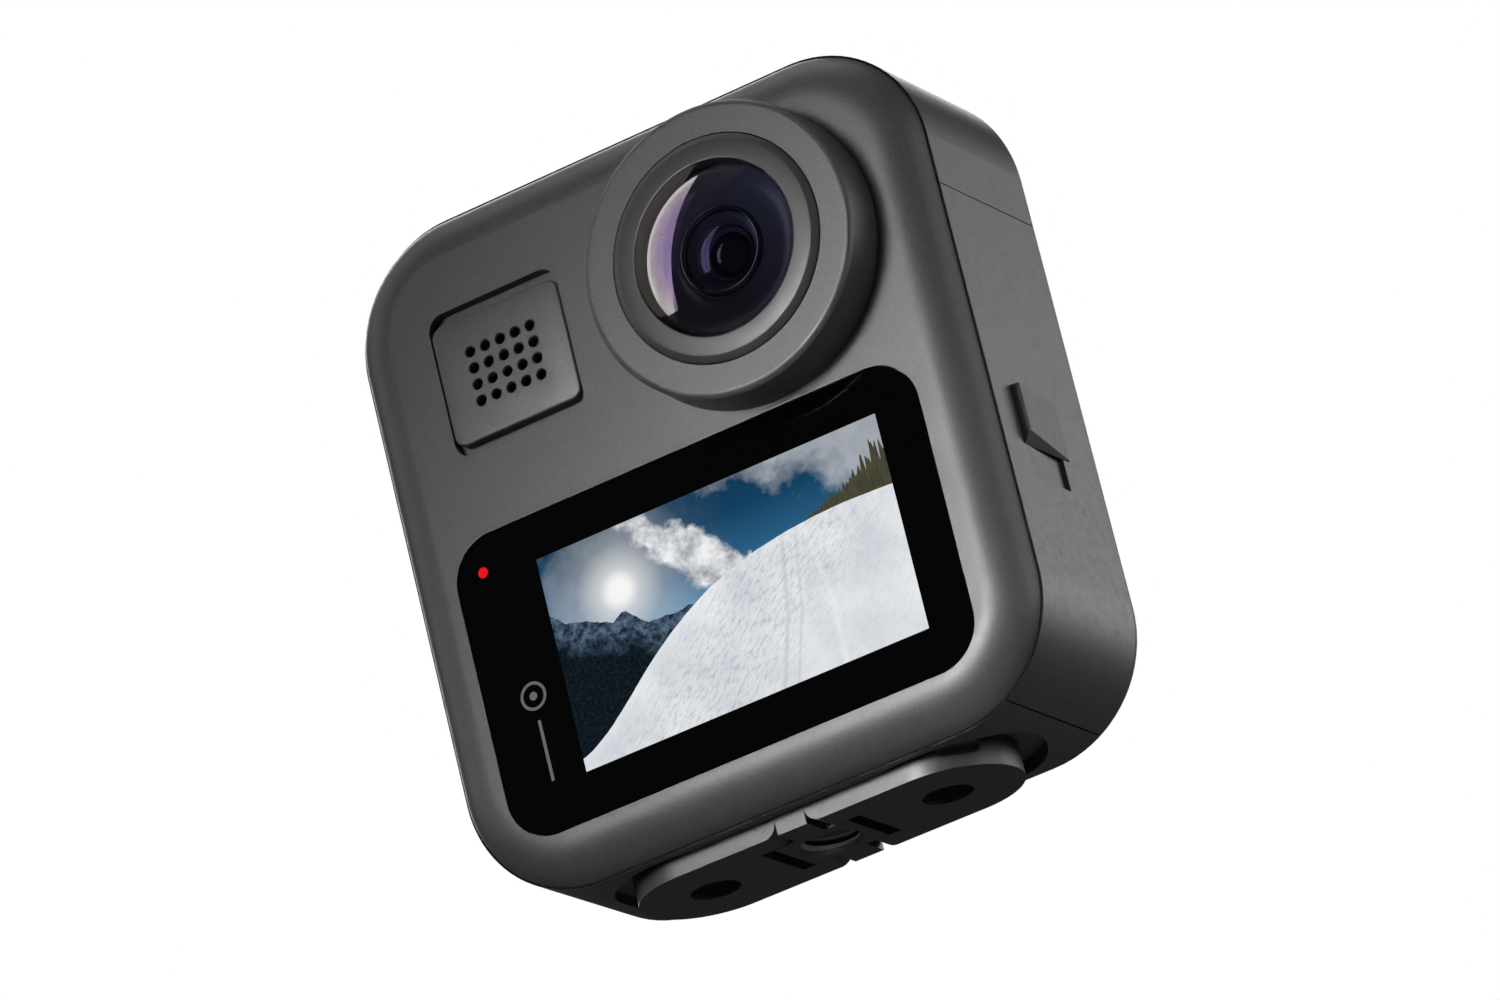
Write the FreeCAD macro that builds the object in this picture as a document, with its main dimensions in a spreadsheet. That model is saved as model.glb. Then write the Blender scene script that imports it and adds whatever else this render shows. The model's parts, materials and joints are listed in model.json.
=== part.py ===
import FreeCAD, Part
import Sketcher
import math
import os
import re

# Action camera with two back-to-back lenses, millimetres.
# Frame: +Z up, screen side (the front) faces -Y, +X to the right seen from the screen side.
# Origin: axis of the tripod thread in the plane of the folded fingers' underside.

DIMS = {
    # body envelope, seams and shell walls
    "body_w": 64.0, "body_top": 71.0, "body_low": 1.7, "half_d": 12.7, "corner": 12.3,
    "front_round": 4.7, "back_round": 4.2,
    "seam_front": 9.4, "seam_back": 9.2, "seam_gap": 0.06,
    "wall": 1.8, "shell_wall": 1.75, "front_wall": 2.2, "lip": 0.8, "lip_inset": 0.95,
    # lens axis, raised ring, bezel, dome and barrel
    "lens_x": 11.7, "lens_z": 53.0,
    "boss_base": 14.7, "boss_top": 14.5, "boss_high": 4.95, "boss_round": 0.6,
    "bezel_r": 11.15, "bezel_gap": 0.12, "bezel_face": 10.5, "bezel_in": 8.6, "bezel_high": 5.65,
    "dome_r": 8.45, "dome_ball": 21.0, "dome_high": 7.4, "dome_thick": 1.0,
    "inner_lens_r": 4.75, "inner_lens_ball": 6.2, "barrel_r": 10.3, "sensor_half": 5.0,
    # screen, light and speaker grille
    "glass_w": 51.7, "glass_tall": 30.8, "glass_round": 4.6, "glass_x": -0.03, "glass_z": 22.21,
    "glass_thick": 1.15, "glass_gap": 0.14, "glass_sink": 0.05,
    "lcd_x": 2.06, "lcd_z": 22.27, "lcd_w": 42.8, "lcd_tall": 25.6,
    "led_x": -22.87, "led_z": 34.15, "led_r": 0.5, "led_room": 0.62,
    "grille_x": -15.28, "grille_z": 53.17, "grille_w": 14.75, "grille_tall": 14.95,
    "plate_tall": 12.6, "hole_pitch": 1.72, "hole_r": 0.5, "mic_pitch": 1.6,
    # frame floor, the walls beside the door, and the case screw posts
    "inner_front": 8.4, "inner_back": 8.2, "floor_left": 24.2, "floor_right": 22.9,
    "low_wall_x": 21.4, "ledge_low": 8.4, "ledge_top": 9.6,
    "high_wall_in": 27.0, "high_wall_out": 28.4, "shelf_low": 54.1, "shelf_top": 55.6,
    "post_r": 1.7, "post_bore": 0.66, "ear_r": 2.7, "ear_high": 6.9,
    # main board faces, along y
    "board_front": -8.6, "board_back": -7.8,
    # battery door, hinge and latch
    "door_top": 53.5, "door_left": 25.9, "hinge_x": 25.8, "hinge_z": 4.607,
    "knuckle_r": 1.5, "knuckle_room": 1.62, "pin_r": 0.5,
    "latch_y": -0.9, "latch_half": 1.3, "latch_proud": 0.87,
    # folding fingers, tripod block and thread
    "finger_wide": 15.0, "finger_thick": 3.0, "finger_hole_x": 13.0, "finger_hole_r": 2.5,
    "finger_in": 1.65, "fold_x": 3.15, "fold_z": 1.5, "fold_pin_r": 0.6, "fold_room": 0.64,
    "slot_in": 5.5, "slot_half": 4.0, "block_half": 4.1, "block_side": 1.6,
    "thread_r": 3.175, "thread_pitch": 1.27, "thread_root": 2.55, "magnet_x": 8.2,
    "block_screw_x": 2.7, "block_screw_y": 2.3,
    # shutter button on top, mode button on the left side
    "shutter_x": -11.0, "shutter_half_w": 6.3, "shutter_half_d": 4.3,
    "mode_z": 36.0, "mode_half_d": 2.5, "mode_half_tall": 5.0,
    "button_proud": 0.35, "button_room": 0.12,
}

Vector = FreeCAD.Vector
ADD, CUT = True, False
FRONT, REAR = -1, 1
LEFT, RIGHT = -1, 1

doc = FreeCAD.newDocument("action_camera")
sheet = doc.addObject("Spreadsheet::Sheet", "dims")
for row, (alias, value) in enumerate(DIMS.items(), 1):
    sheet.set(f"A{row}", alias.replace("_", " "))
    sheet.set(f"B{row}", str(value))
    sheet.setAlias(f"B{row}", alias)
doc.recompute()

parts = {}   # exported objects by name
steps = []   # (feature, adds) pairs whose volume change is tested at the end


# ---- Expressions over the sheet ----
def expr(text):
    """The text with the sheet's name put before each alias."""
    return re.sub(r"[a-z]\w+", r"dims.\g<0>", str(text))


def val(text):
    return float(sheet.evalExpression(expr(text)))


def bind(obj, prop, text):
    obj.setExpression(prop, expr(text))


def drive(sketch, name, text, kind, *where):
    """Add a named dimension to a sketch and bind it to the sheet."""
    index = sketch.addConstraint(Sketcher.Constraint(kind, *where, val(text)))
    sketch.renameConstraint(index, name)
    bind(sketch, "Constraints." + name, text)


def around(centre, half):
    """Limits at an equal distance either side of a centre."""
    return f"{centre} - ({half})", f"{centre} + ({half})"


def on_side(side, near, far):
    """Limits near..far from a middle plane, on its negative (-1) or positive (1) side."""
    return (f"-({far})", f"-({near})") if side < 0 else (near, far)


# ---- Sketched rectangles: each returns its (width, height) constraint places ----
def sharp_rectangle(sketch, a, b):
    corners = [Vector(-a, -b, 0), Vector(a, -b, 0), Vector(a, b, 0), Vector(-a, b, 0)]
    for i in range(4):
        sketch.addGeometry(Part.LineSegment(corners[i], corners[(i + 1) % 4]), False)
    for i in range(4):
        sketch.addConstraint(Sketcher.Constraint("Coincident", i, 2, (i + 1) % 4, 1))
    for i, kind in enumerate(("Horizontal", "Vertical", "Horizontal", "Vertical")):
        sketch.addConstraint(Sketcher.Constraint(kind, i))
    sketch.addConstraint(Sketcher.Constraint("Symmetric", 0, 1, 1, 2, -1, 1))
    return (0, 1, 0, 2), (1, 1, 1, 2)


def rounded_rectangle(sketch, a, b, r):
    """Sides are geometry 0 to 3, corner arcs 4 to 7, both anticlockwise from the bottom."""
    sides = (((-a + r, -b), (a - r, -b)), ((a, -b + r), (a, b - r)),
             ((a - r, b), (-a + r, b)), ((-a, b - r), (-a, -b + r)))
    for start, end in sides:
        sketch.addGeometry(Part.LineSegment(Vector(*start, 0), Vector(*end, 0)), False)
    arcs = ((a - r, -b + r, -90), (a - r, b - r, 0), (-a + r, b - r, 90), (-a + r, -b + r, 180))
    for x, y, angle in arcs:
        circle = Part.Circle(Vector(x, y, 0), Vector(0, 0, 1), r)
        arc = Part.ArcOfCircle(circle, math.radians(angle), math.radians(angle + 90))
        sketch.addGeometry(arc, False)
    for i in range(4):
        sketch.addConstraint(Sketcher.Constraint("Tangent", i, 2, 4 + i, 1))
        sketch.addConstraint(Sketcher.Constraint("Tangent", 4 + i, 2, (i + 1) % 4, 1))
    for i, kind in enumerate(("Horizontal", "Vertical", "Horizontal", "Vertical")):
        sketch.addConstraint(Sketcher.Constraint(kind, i))
    for i in (5, 6, 7):
        sketch.addConstraint(Sketcher.Constraint("Equal", 4, i))
    sketch.addConstraint(Sketcher.Constraint("Symmetric", 4, 3, 6, 3, -1, 1))
    return (3, 1, 1, 2), (0, 2, 2, 1)


class Piece:
    """One PartDesign body, built from sketched slabs and primitives on its origin planes.

    plane is XY, XZ or YZ; a spot is a place in it; a span is the limits along its global axis.
    """

    def __init__(self, name, exported=True):
        self.name = name
        self.body = doc.addObject("PartDesign::Body", name)
        self.body.Label = name
        self.count = 0
        if exported:
            parts[name] = self.body

    def new(self, kind, word):
        self.count += 1
        return self.body.newObject(kind, f"{self.name}_{word}{self.count}")

    def attach(self, obj, plane, spot, level):
        role = plane + "_Plane"
        support = [f for f in self.body.Origin.OriginFeatures if f.Role == role][0]
        obj.AttachmentSupport = [(support, "")]
        obj.MapMode = "FlatFace"
        bind(obj, "AttachmentOffset.Base.x", spot[0])
        bind(obj, "AttachmentOffset.Base.y", spot[1])
        # the XZ plane's normal is -Y
        bind(obj, "AttachmentOffset.Base.z", f"-({level})" if plane == "XZ" else level)

    def extrude(self, adds, plane, sketch, span):
        kind = "Pad" if adds else "Pocket"
        feature = self.new("PartDesign::" + kind, kind.lower())
        feature.Profile = sketch
        bind(feature, "Length", f"({span[1]}) - ({span[0]})")
        feature.Refine = False
        # XZ sketches face -Y, so pads turn round there; pockets run against the normal
        feature.Reversed = (plane == "XZ") if adds else (plane != "XZ")
        steps.append((feature, adds))

    def slab(self, adds, plane, spot, size, r, span):
        """A rectangle of the given size centred on spot, with corners rounded by r."""
        sketch = self.new("Sketcher::SketchObject", "outline")
        self.attach(sketch, plane, spot, span[0])
        a, b, c = val(size[0]) / 2, val(size[1]) / 2, val(r)
        if c <= 0:
            wide, tall = sharp_rectangle(sketch, a, b)
        else:
            wide, tall = rounded_rectangle(sketch, a, b, c)
            drive(sketch, "round", r, "Radius", 4)
        drive(sketch, "wide", size[0], "DistanceX", *wide)
        drive(sketch, "tall", size[1], "DistanceY", *tall)
        self.extrude(adds, plane, sketch, span)

    def box(self, adds, x, y, z, r=0, plane="XY"):
        """A block by its limits on each axis; r rounds the corners seen square to plane."""
        u, v, span = {"XY": (x, y, z), "XZ": (x, z, y), "YZ": (y, z, x)}[plane]
        spot = [f"(({low}) + ({high})) / 2" for low, high in (u, v)]
        size = [f"({high}) - ({low})" for low, high in (u, v)]
        self.slab(adds, plane, spot, size, r, span)

    def primitive(self, adds, kind, plane, spot, span, **radii):
        prefix = "PartDesign::Additive" if adds else "PartDesign::Subtractive"
        feature = self.new(prefix + kind, kind.lower())
        feature.Refine = False
        self.attach(feature, plane, spot, span[1] if plane == "XZ" else span[0])
        bind(feature, "Height", f"({span[1]}) - ({span[0]})")
        for prop, text in radii.items():
            bind(feature, prop, text)
        steps.append((feature, adds))

    def rod(self, adds, plane, spot, span, r):
        self.primitive(adds, "Cylinder", plane, spot, span, Radius=r)

    def cone(self, adds, plane, spot, span, r_low, r_high):
        """r_low and r_high are the radii at the span's two limits."""
        if plane == "XZ":
            r_low, r_high = r_high, r_low
        self.primitive(adds, "Cone", plane, spot, span, Radius1=r_low, Radius2=r_high)

    def rods(self, adds, plane, spots, span, r):
        """Equal round pads or pockets at several spots, in one sketch."""
        sketch = self.new("Sketcher::SketchObject", "circles")
        self.attach(sketch, plane, (0, 0), span[0])
        for i, (u, v) in enumerate(spots):
            circle = Part.Circle(Vector(val(u), val(v), 0), Vector(0, 0, 1), val(r))
            sketch.addGeometry(circle, False)
            if i == 0:
                drive(sketch, "round", r, "Radius", 0)
            else:
                sketch.addConstraint(Sketcher.Constraint("Equal", 0, i))
            for kind, text, letter, axis in (("DistanceX", u, "u", -2), ("DistanceY", v, "v", -1)):
                if abs(val(text)) < 1e-9:
                    sketch.addConstraint(Sketcher.Constraint("PointOnObject", i, 3, axis))
                else:
                    drive(sketch, f"{letter}{i}", text, kind, -1, 1, i, 3)
        self.extrude(adds, plane, sketch, span)

    def lens_rod(self, adds, side, near, far, r):
        self.rod(adds, "XZ", LENS, on_side(side, near, far), r)

    def lens_cone(self, adds, side, near, far, r_near, r_far):
        radii = (r_near, r_far) if side > 0 else (r_far, r_near)
        self.cone(adds, "XZ", LENS, on_side(side, near, far), *radii)

    def round_edges(self, axis, level, r, min_y=0):
        """Fillet the edges lying flat at a level of an axis, at least min_y long in Y."""
        doc.recompute()
        base = self.body.Tip
        target = val(level)
        picked = []
        for i, edge in enumerate(base.Shape.Edges, 1):
            box = edge.BoundBox
            ends = getattr(box, axis + "Min"), getattr(box, axis + "Max")
            if all(abs(end - target) < 0.02 for end in ends) and box.YLength >= min_y:
                picked.append(f"Edge{i}")
        if not picked:
            raise RuntimeError("no edge for a round on " + self.name)
        fillet = self.new("PartDesign::Fillet", "fillet")
        fillet.Base = (base, picked)
        fillet.Refine = False
        bind(fillet, "Radius", r)
        doc.recompute()
        if "Invalid" in fillet.State or "Error" in fillet.State or fillet.Shape.isNull():
            raise RuntimeError(f"fillet failed on {self.name} ({picked})")


# ---- Part objects outside the bodies ----
def export_as(name, obj):
    obj.Label = name
    parts[name] = obj


def join(kind, name, base, tool):
    obj = doc.addObject("Part::" + kind, name)
    obj.Base, obj.Tool = base, tool
    return obj


def group(name, members):
    obj = doc.addObject("Part::Compound", name)
    obj.Links = members
    export_as(name, obj)


def place(obj, x, y, z):
    for axis, text in zip("xyz", (x, y, z)):
        bind(obj, "Placement.Base." + axis, text)


def turned(axis, angle):
    return FreeCAD.Placement(Vector(0, 0, 0), FreeCAD.Rotation(Vector(*axis), angle))


def rod_part(name, plane, spot, span, r):
    obj = doc.addObject("Part::Cylinder", name)
    bind(obj, "Radius", r)
    bind(obj, "Height", f"({span[1]}) - ({span[0]})")
    (u, v), start = spot, span[0]
    if plane == "XY":
        place(obj, u, v, start)
    else:
        obj.Placement = turned((1, 0, 0), -90)
        place(obj, u, start, v)
    return obj


def sphere_part(name, r):
    obj = doc.addObject("Part::Sphere", name)
    bind(obj, "Radius", r)
    return obj


def block_part(name, x, y, z):
    obj = doc.addObject("Part::Box", name)
    for prop, (low, high) in zip(("Length", "Width", "Height"), (x, y, z)):
        bind(obj, prop, f"({high}) - ({low})")
    place(obj, x[0], y[0], z[0])
    return obj


def shape_part(name, shape, x=0, y=0, z=0):
    obj = doc.addObject("Part::Feature", name)
    obj.Shape = shape
    obj.Placement = FreeCAD.Placement(Vector(x, y, z), FreeCAD.Rotation())
    return obj


def prism(name, points, move):
    """A straight-sided prism: points are (x, y, z) corners of a face, swept along move."""
    corners = [Vector(*(val(c) for c in point)) for point in points]
    face = Part.Face(Part.makePolygon(corners + [corners[0]]))
    return shape_part(name, face.extrude(Vector(*move)))


# ---- Shared places and spans ----
LENS = ("lens_x", "lens_z")
GLASS = ("glass_x", "glass_z")
LCD = ("lcd_x", "lcd_z")
LED = ("led_x", "led_z")
GRILLE = ("grille_x", "grille_z")
HINGE = ("hinge_x", "hinge_z")
POSTS = ((-27.0, 10.5), (-27.0, 62.2), (27.0, 62.2), (18.4, 7.2))    # x, z
BLOCK_SCREWS = (("-block_screw_x", "-block_screw_y"), ("block_screw_x", "block_screw_y"))
FOLDS = (("-fold_x", "fold_z"), ("fold_x", "fold_z"))
MAGNETS = (("-magnet_x", 0), ("magnet_x", 0))
FRAME_Y = ("-seam_front + seam_gap", "seam_back - seam_gap")
PAST_FRAME_Y = ("-seam_front - 1", "seam_back + 1")
INNER_Y = ("-inner_front", "inner_back")
LATCH_Y = around("latch_y", "latch_half")
BODY_MID = "(body_top + body_low) / 2"
BODY_TALL = "body_top - body_low"


def body_outline(piece, adds, inset, span):
    """The body's rounded outline drawn in by inset."""
    size = (f"body_w - 2 * ({inset})", f"{BODY_TALL} - 2 * ({inset})")
    piece.slab(adds, "XZ", (0, BODY_MID), size, f"corner - ({inset})", span)


# ---- Casing: two shells with a raised lens ring each, and the frame between them ----
def casing(name, side, seam, rounding):
    edge = seam + " + seam_gap"
    inner_face = "half_d - front_wall"
    p = Piece(name)
    body_outline(p, ADD, 0, ("-half_d", "half_d"))
    p.round_edges("Y", f"{side} * half_d", rounding)
    p.slab(CUT, "XZ", (0, BODY_MID), ("body_w + 4", BODY_TALL + " + 4"), 0,
           on_side(side, "-half_d - 1", edge))
    body_outline(p, ADD, "lip_inset", on_side(side, edge + " - lip", edge + " + 0.2"))
    # the lip stops where the battery door swings
    p.box(CUT, (24.0, 33.0), on_side(side, seam + " - lip - 1", edge), (0, "door_top + 2.4"))
    body_outline(p, CUT, "shell_wall", on_side(side, edge + " - lip - 0.1", inner_face))
    # raised lens ring, seat for the bezel and hole for the barrel
    p.lens_cone(ADD, side, inner_face + " + 0.4", "half_d + boss_high", "boss_base", "boss_top")
    p.round_edges("Y", f"{side} * (half_d + boss_high)", "boss_round")
    p.lens_rod(CUT, side, "half_d - 0.8", "half_d + boss_high + 1", "bezel_r + bezel_gap")
    p.lens_rod(CUT, side, inner_face + " - 1", "half_d", "barrel_r + 0.15")
    # four bored screw posts inside, one near each corner
    p.rods(ADD, "XZ", POSTS, on_side(side, "ear_high + 0.1", inner_face + " + 0.1"), "post_r")
    p.rods(CUT, "XZ", POSTS, on_side(side, "ear_high", "half_d - 1.2"), "post_bore")
    # pocket for the end of the door's hinge pin
    p.rod(CUT, "XZ", HINGE, on_side(side, seam, seam + " + 0.6"), "pin_r")
    return p


def front_shell():
    p = casing("front_shell", FRONT, "seam_front", "front_round")
    through = ("-half_d", "-half_d + front_wall + 0.5")
    # glass recess, display window and light hole
    p.slab(CUT, "XZ", GLASS, ("glass_w + 2 * glass_gap", "glass_tall + 2 * glass_gap"),
           "glass_round + glass_gap", ("-half_d - 0.5", "-half_d + 1.5"))
    p.slab(CUT, "XZ", LCD, ("lcd_w + 0.5", "lcd_tall + 0.5"), 1.0, through)
    p.rod(CUT, "XZ", LED, through, "led_room")
    # grille recess and the speaker opening behind it
    p.slab(CUT, "XZ", GRILLE, ("grille_w", "grille_tall"), 1.8, ("-half_d - 0.5", "-half_d + 1.25"))
    p.slab(CUT, "XZ", GRILLE, (9.6, 8.8), 1.0, through)


def rear_shell():
    p = casing("rear_shell", REAR, "seam_back", "back_round")
    holes = [(f"-19.0 + {i} * hole_pitch", 57.0) for i in range(3)]
    p.rods(CUT, "XZ", holes, ("half_d - front_wall - 0.5", "half_d + 0.5"), "hole_r")


def frame_ring(p):
    body_outline(p, ADD, 0, FRAME_Y)
    body_outline(p, CUT, "wall", PAST_FRAME_Y)
    # rebates for the shells' lips
    rebate = "lip_inset - 0.1"
    body_outline(p, CUT, rebate, ("-seam_front - 1", "-seam_front + lip + 0.05"))
    body_outline(p, CUT, rebate, ("seam_back - lip - 0.05", "seam_back + 1"))
    # door opening with a round room for the hinge knuckle
    p.box(CUT, ("door_left - 0.1", 34.0), PAST_FRAME_Y, (-1, "door_top + seam_gap"))
    p.rod(CUT, "XZ", HINGE, PAST_FRAME_Y, "knuckle_room")


def frame_floor(p):
    """Thick floor over the folding fingers, with a hump over the tripod block."""
    hump = around(0, 6.2)
    recess = (0, 3.1)
    p.box(ADD, ("-floor_left", "floor_right"), INNER_Y, (3.0, 4.9))
    p.box(ADD, hump, hump, (4.5, 9.3), 1.0)
    p.box(CUT, around(0, "block_half + 0.15"), around(0, "slot_half + 0.15"), (0, 8.05))
    # finger recess: a straight middle and two round ends
    p.box(CUT, (-15.0, 15.0), around(0, "finger_wide / 2 + 0.25"), recess)
    for x in ((5.0, 23.3), (-22.6, -5.0)):
        p.box(CUT, x, around(0, 8.25), recess, 8.1)


def frame_inner_wall(p):
    """Inner wall beside the door, joined to the floor below and to the side above."""
    p.box(ADD, ("low_wall_x", "floor_right"), INNER_Y, (4.5, "ledge_top"))
    p.box(ADD, ("low_wall_x", "high_wall_out"), INNER_Y, ("ledge_low", "ledge_top"))
    p.box(ADD, ("high_wall_in", "high_wall_out"), INNER_Y, (9.0, "shelf_top"))
    p.box(ADD, ("high_wall_in", 31.4), INNER_Y, ("shelf_low", "shelf_top"))
    openings = (                                    # y limits, z limits, corner radius
        ((-4.0, 7.4), (10.4, 41.7), 1.0),           # battery
        ((-7.85, -4.75), (12.6, 22.2), 1.2),        # port
        ((-7.6, -6.3), (26.9, 38.9), 0.4),          # memory card
    )
    for y, z, r in openings:
        p.box(CUT, (26.0, 29.0), y, z, r, "YZ")
    # keeper notch for the latch tooth
    p.box(CUT, (27.8, 29.0), around("latch_y", "latch_half + 0.3"), (50.0, 53.0))


def mid_frame():
    p = Piece("mid_frame")
    frame_ring(p)
    frame_floor(p)
    frame_inner_wall(p)
    # ears for the case screws
    for side in (FRONT, REAR):
        p.rods(ADD, "XZ", POSTS, on_side(side, 5.4, "ear_high"), "ear_r")
    p.rods(CUT, "XZ", POSTS, (-7.5, 7.5), 0.9)
    # top shutter opening and left mode-button opening, each with a hole for the stem
    p.box(CUT, around("shutter_x", "shutter_half_w"), around(0, "shutter_half_d"),
          (69.7, 73.0), 4.2)
    p.rod(CUT, "XY", ("shutter_x", 0), (68.0, 72.0), 1.6)
    p.box(CUT, (-34.0, -30.7), around(0, "mode_half_d"), around("mode_z", "mode_half_tall"),
          2.4, "YZ")
    p.rod(CUT, "YZ", (0, "mode_z"), (-33.0, -29.0), 1.3)
    # pockets for the magnets that hold the folded fingers
    p.rods(CUT, "XY", MAGNETS, (3.7, 5.5), 1.53)
    # microphone holes
    p.rods(CUT, "XY", [(f"20 + ({i}) * mic_pitch", 0) for i in (-1, 0, 1)], (68.0, 72.0), 0.4)
    # clearance and head room for the block screws
    p.rods(CUT, "XY", BLOCK_SCREWS, (7.5, 9.8), 0.72)
    p.rods(CUT, "XY", BLOCK_SCREWS, (8.7, 9.8), 1.35)


front_shell()
rear_shell()
mid_frame()


# ---- Lens units, front and back ----
def lens_bezel(name, side):
    p = Piece(name)
    rim, step, top = "half_d + boss_high + 0.05", "half_d + boss_high + 0.4", "half_d + bezel_high"
    p.lens_rod(ADD, side, "half_d - 0.4", rim, "bezel_r")
    p.lens_cone(ADD, side, rim, step, "bezel_r", "bezel_face")
    p.lens_cone(ADD, side, step, top, "bezel_face", "bezel_in")
    p.lens_rod(CUT, side, "half_d - 1", top + " + 1", "bezel_in")


def ball_cap(name, label, side, r, ball_r, top, bottom):
    """A cap of radius r, flat at bottom, cut from a ball whose apex is at top."""
    ball = sphere_part(label + "_ball", ball_r)
    place(ball, "lens_x", f"({top} - {ball_r}) * ({side})", "lens_z")
    rim = doc.addObject("Part::Cylinder", label + "_rim")
    bind(rim, "Radius", r)
    bind(rim, "Height", f"({top}) + 1 - ({bottom})")
    rim.Placement = turned((1, 0, 0), 90 if side < 0 else -90)
    place(rim, "lens_x", f"({bottom}) * ({side})", "lens_z")
    return join("Common", name, rim, ball), ball


def lens_dome(name, side):
    """Outer glass, hollowed by a ball of the same centre."""
    cap, ball = ball_cap(name + "_cap", name, side, "dome_r", "dome_ball",
                         "half_d + dome_high", "half_d + 3.5")
    hollow = sphere_part(name + "_hollow", "dome_ball - dome_thick")
    for axis in "xyz":
        prop = "Placement.Base." + axis
        hollow.setExpression(prop, f"{ball.Name}.{prop}")
    export_as(name, join("Cut", name, cap, hollow))


def inner_lens(name, side):
    cap, _ = ball_cap(name, name, side, "inner_lens_r", "inner_lens_ball",
                      "half_d + 3.5", "half_d + 0.7")
    export_as(name, cap)


def lens_barrel(name, side):
    p = Piece(name)
    top = "half_d + 3.95"
    p.lens_rod(ADD, side, 1.75, "half_d - 1.0", "barrel_r")
    p.lens_rod(ADD, side, "half_d - 1.1", top, "dome_r - 0.1")
    # flared mouth, inner lens seat and bore
    p.lens_cone(CUT, side, "half_d + 1.9", top, 4.95, 8.0)
    p.lens_rod(CUT, side, "half_d + 0.6", "half_d + 2.1", "inner_lens_r + 0.1")
    p.lens_rod(CUT, side, 3.6, "half_d + 1", 3.4)
    # square room for the image sensor
    room = "sensor_half + 0.1"
    p.box(CUT, around("lens_x", room), on_side(side, 1.0, 3.7), around("lens_z", room), 0, "XZ")


def lens_seal(name, side):
    p = Piece(name)
    p.lens_rod(ADD, side, "half_d - 0.78", "half_d - 0.42", 11.1)
    p.lens_rod(CUT, side, "half_d - 2", "half_d + 1", 10.5)


def image_sensor(name, side):
    Piece(name).box(ADD, around("lens_x", "sensor_half"), on_side(side, 0.62, 2.4),
                    around("lens_z", "sensor_half"), 0.6, "XZ")


def sensor_board():
    half = 9.5
    Piece("sensor_board").box(ADD, around("lens_x", half), (-0.6, 0.6), around("lens_z", half),
                              2.0, "XZ")


LENS_PIECES = (lens_bezel, lens_dome, inner_lens, lens_barrel, lens_seal, image_sensor)
for word, side in (("front", FRONT), ("rear", REAR)):
    for build in LENS_PIECES:
        build(f"{word}_{build.__name__}", side)
sensor_board()


# ---- Screen, light and grille: depths are measured back from the front face ----
def depth(start, end):
    return f"-half_d + {start}", f"-half_d + {end}"


def touch_glass():
    p = Piece("touch_glass")
    p.slab(ADD, "XZ", GLASS, ("glass_w", "glass_tall"), "glass_round",
           depth("glass_sink", "glass_sink + glass_thick"))
    p.round_edges("Y", "-half_d + glass_sink", 0.15)


def glass_adhesive():
    p = Piece("glass_adhesive")
    through = depth(0, 2)
    p.slab(ADD, "XZ", GLASS, ("glass_w - 0.6", "glass_tall - 0.6"), "glass_round - 0.3",
           depth(1.21, 1.5))
    p.slab(CUT, "XZ", LCD, ("lcd_w + 0.6", "lcd_tall + 0.6"), 1.0, through)
    p.rod(CUT, "XZ", LED, through, "led_room")


def display():
    """The display panel and the holed bracket behind it."""
    Piece("display_panel").slab(ADD, "XZ", LCD, ("lcd_w", "lcd_tall"), 0.8, depth(1.21, 3.0))
    p = Piece("display_bracket")
    p.slab(ADD, "XZ", LCD, (46.4, 26.0), 1.5, depth(3.05, 3.65))
    holes = [(f"lcd_x + ({a}) * 21.6", f"lcd_z + ({b}) * 11.4") for a in (-1, 1) for b in (-1, 1)]
    p.rods(CUT, "XZ", holes, depth(0, 4), 0.9)


def status_led():
    p = Piece("status_led")
    p.rod(ADD, "XZ", LED, depth(1.22, 2.6), "led_r")
    p.box(ADD, around("led_x", 0.9), depth(2.3, 2.9), around("led_z", 0.6), 0, "XZ")


def speaker_grille():
    p = Piece("speaker_grille")
    p.slab(ADD, "XZ", GRILLE, ("grille_w - 0.22", "plate_tall"), 1.3, depth(0, 1.2))
    p.round_edges("Y", "-half_d", 0.25)
    holes = [(f"grille_x + ({a}) * hole_pitch", f"grille_z + ({b}) * hole_pitch")
             for a in (-2, -1, 0, 1, 2) for b in (-1.5, -0.5, 0.5, 1.5)]
    p.rods(CUT, "XZ", holes, depth(-0.5, 1.5), "hole_r")


def speaker():
    """The membrane behind the grille and the stepped driver behind that."""
    Piece("grille_membrane").slab(ADD, "XZ", GRILLE, (11.2, 10.4), 1.5, depth(2.22, 2.42))
    p = Piece("speaker_driver")
    p.slab(ADD, "XZ", GRILLE, (13.0, 11.0), 2.0, depth(2.5, 5.4))
    p.slab(ADD, "XZ", GRILLE, (9.0, 7.0), 1.0, depth(5.3, 6.0))


for build in (touch_glass, glass_adhesive, display, status_led, speaker_grille, speaker):
    build()


# ---- Electronics and battery ----
MOUNT = "board_back + 0.02"     # front limit of what sits on the board's rear face


def main_board():
    p = Piece("main_board")
    p.box(ADD, (-28.6, 27.0), ("board_front", "board_back"), (12.4, 43.0), 1.5, "XZ")
    # notch at the upper right corner and a bite round the lens barrel
    p.box(CUT, (25.5, 28.0), (-9, -7), (39.4, 44.0))
    p.rod(CUT, "XZ", LENS, (-9, -7), "barrel_r + 0.3")


def chips():
    Piece("processor_chip").box(ADD, (-16.0, -3.0), (MOUNT, -6.5), (20.0, 33.0), 0.4, "XZ")
    Piece("memory_chip").box(ADD, (-1.0, 9.0), (MOUNT, -6.7), (21.0, 32.0), 0.4, "XZ")
    Piece("heat_spreader").box(ADD, (-27.0, 9.6), (-6.45, -5.95), (13.0, 42.0), 2.0, "XZ")


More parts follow.
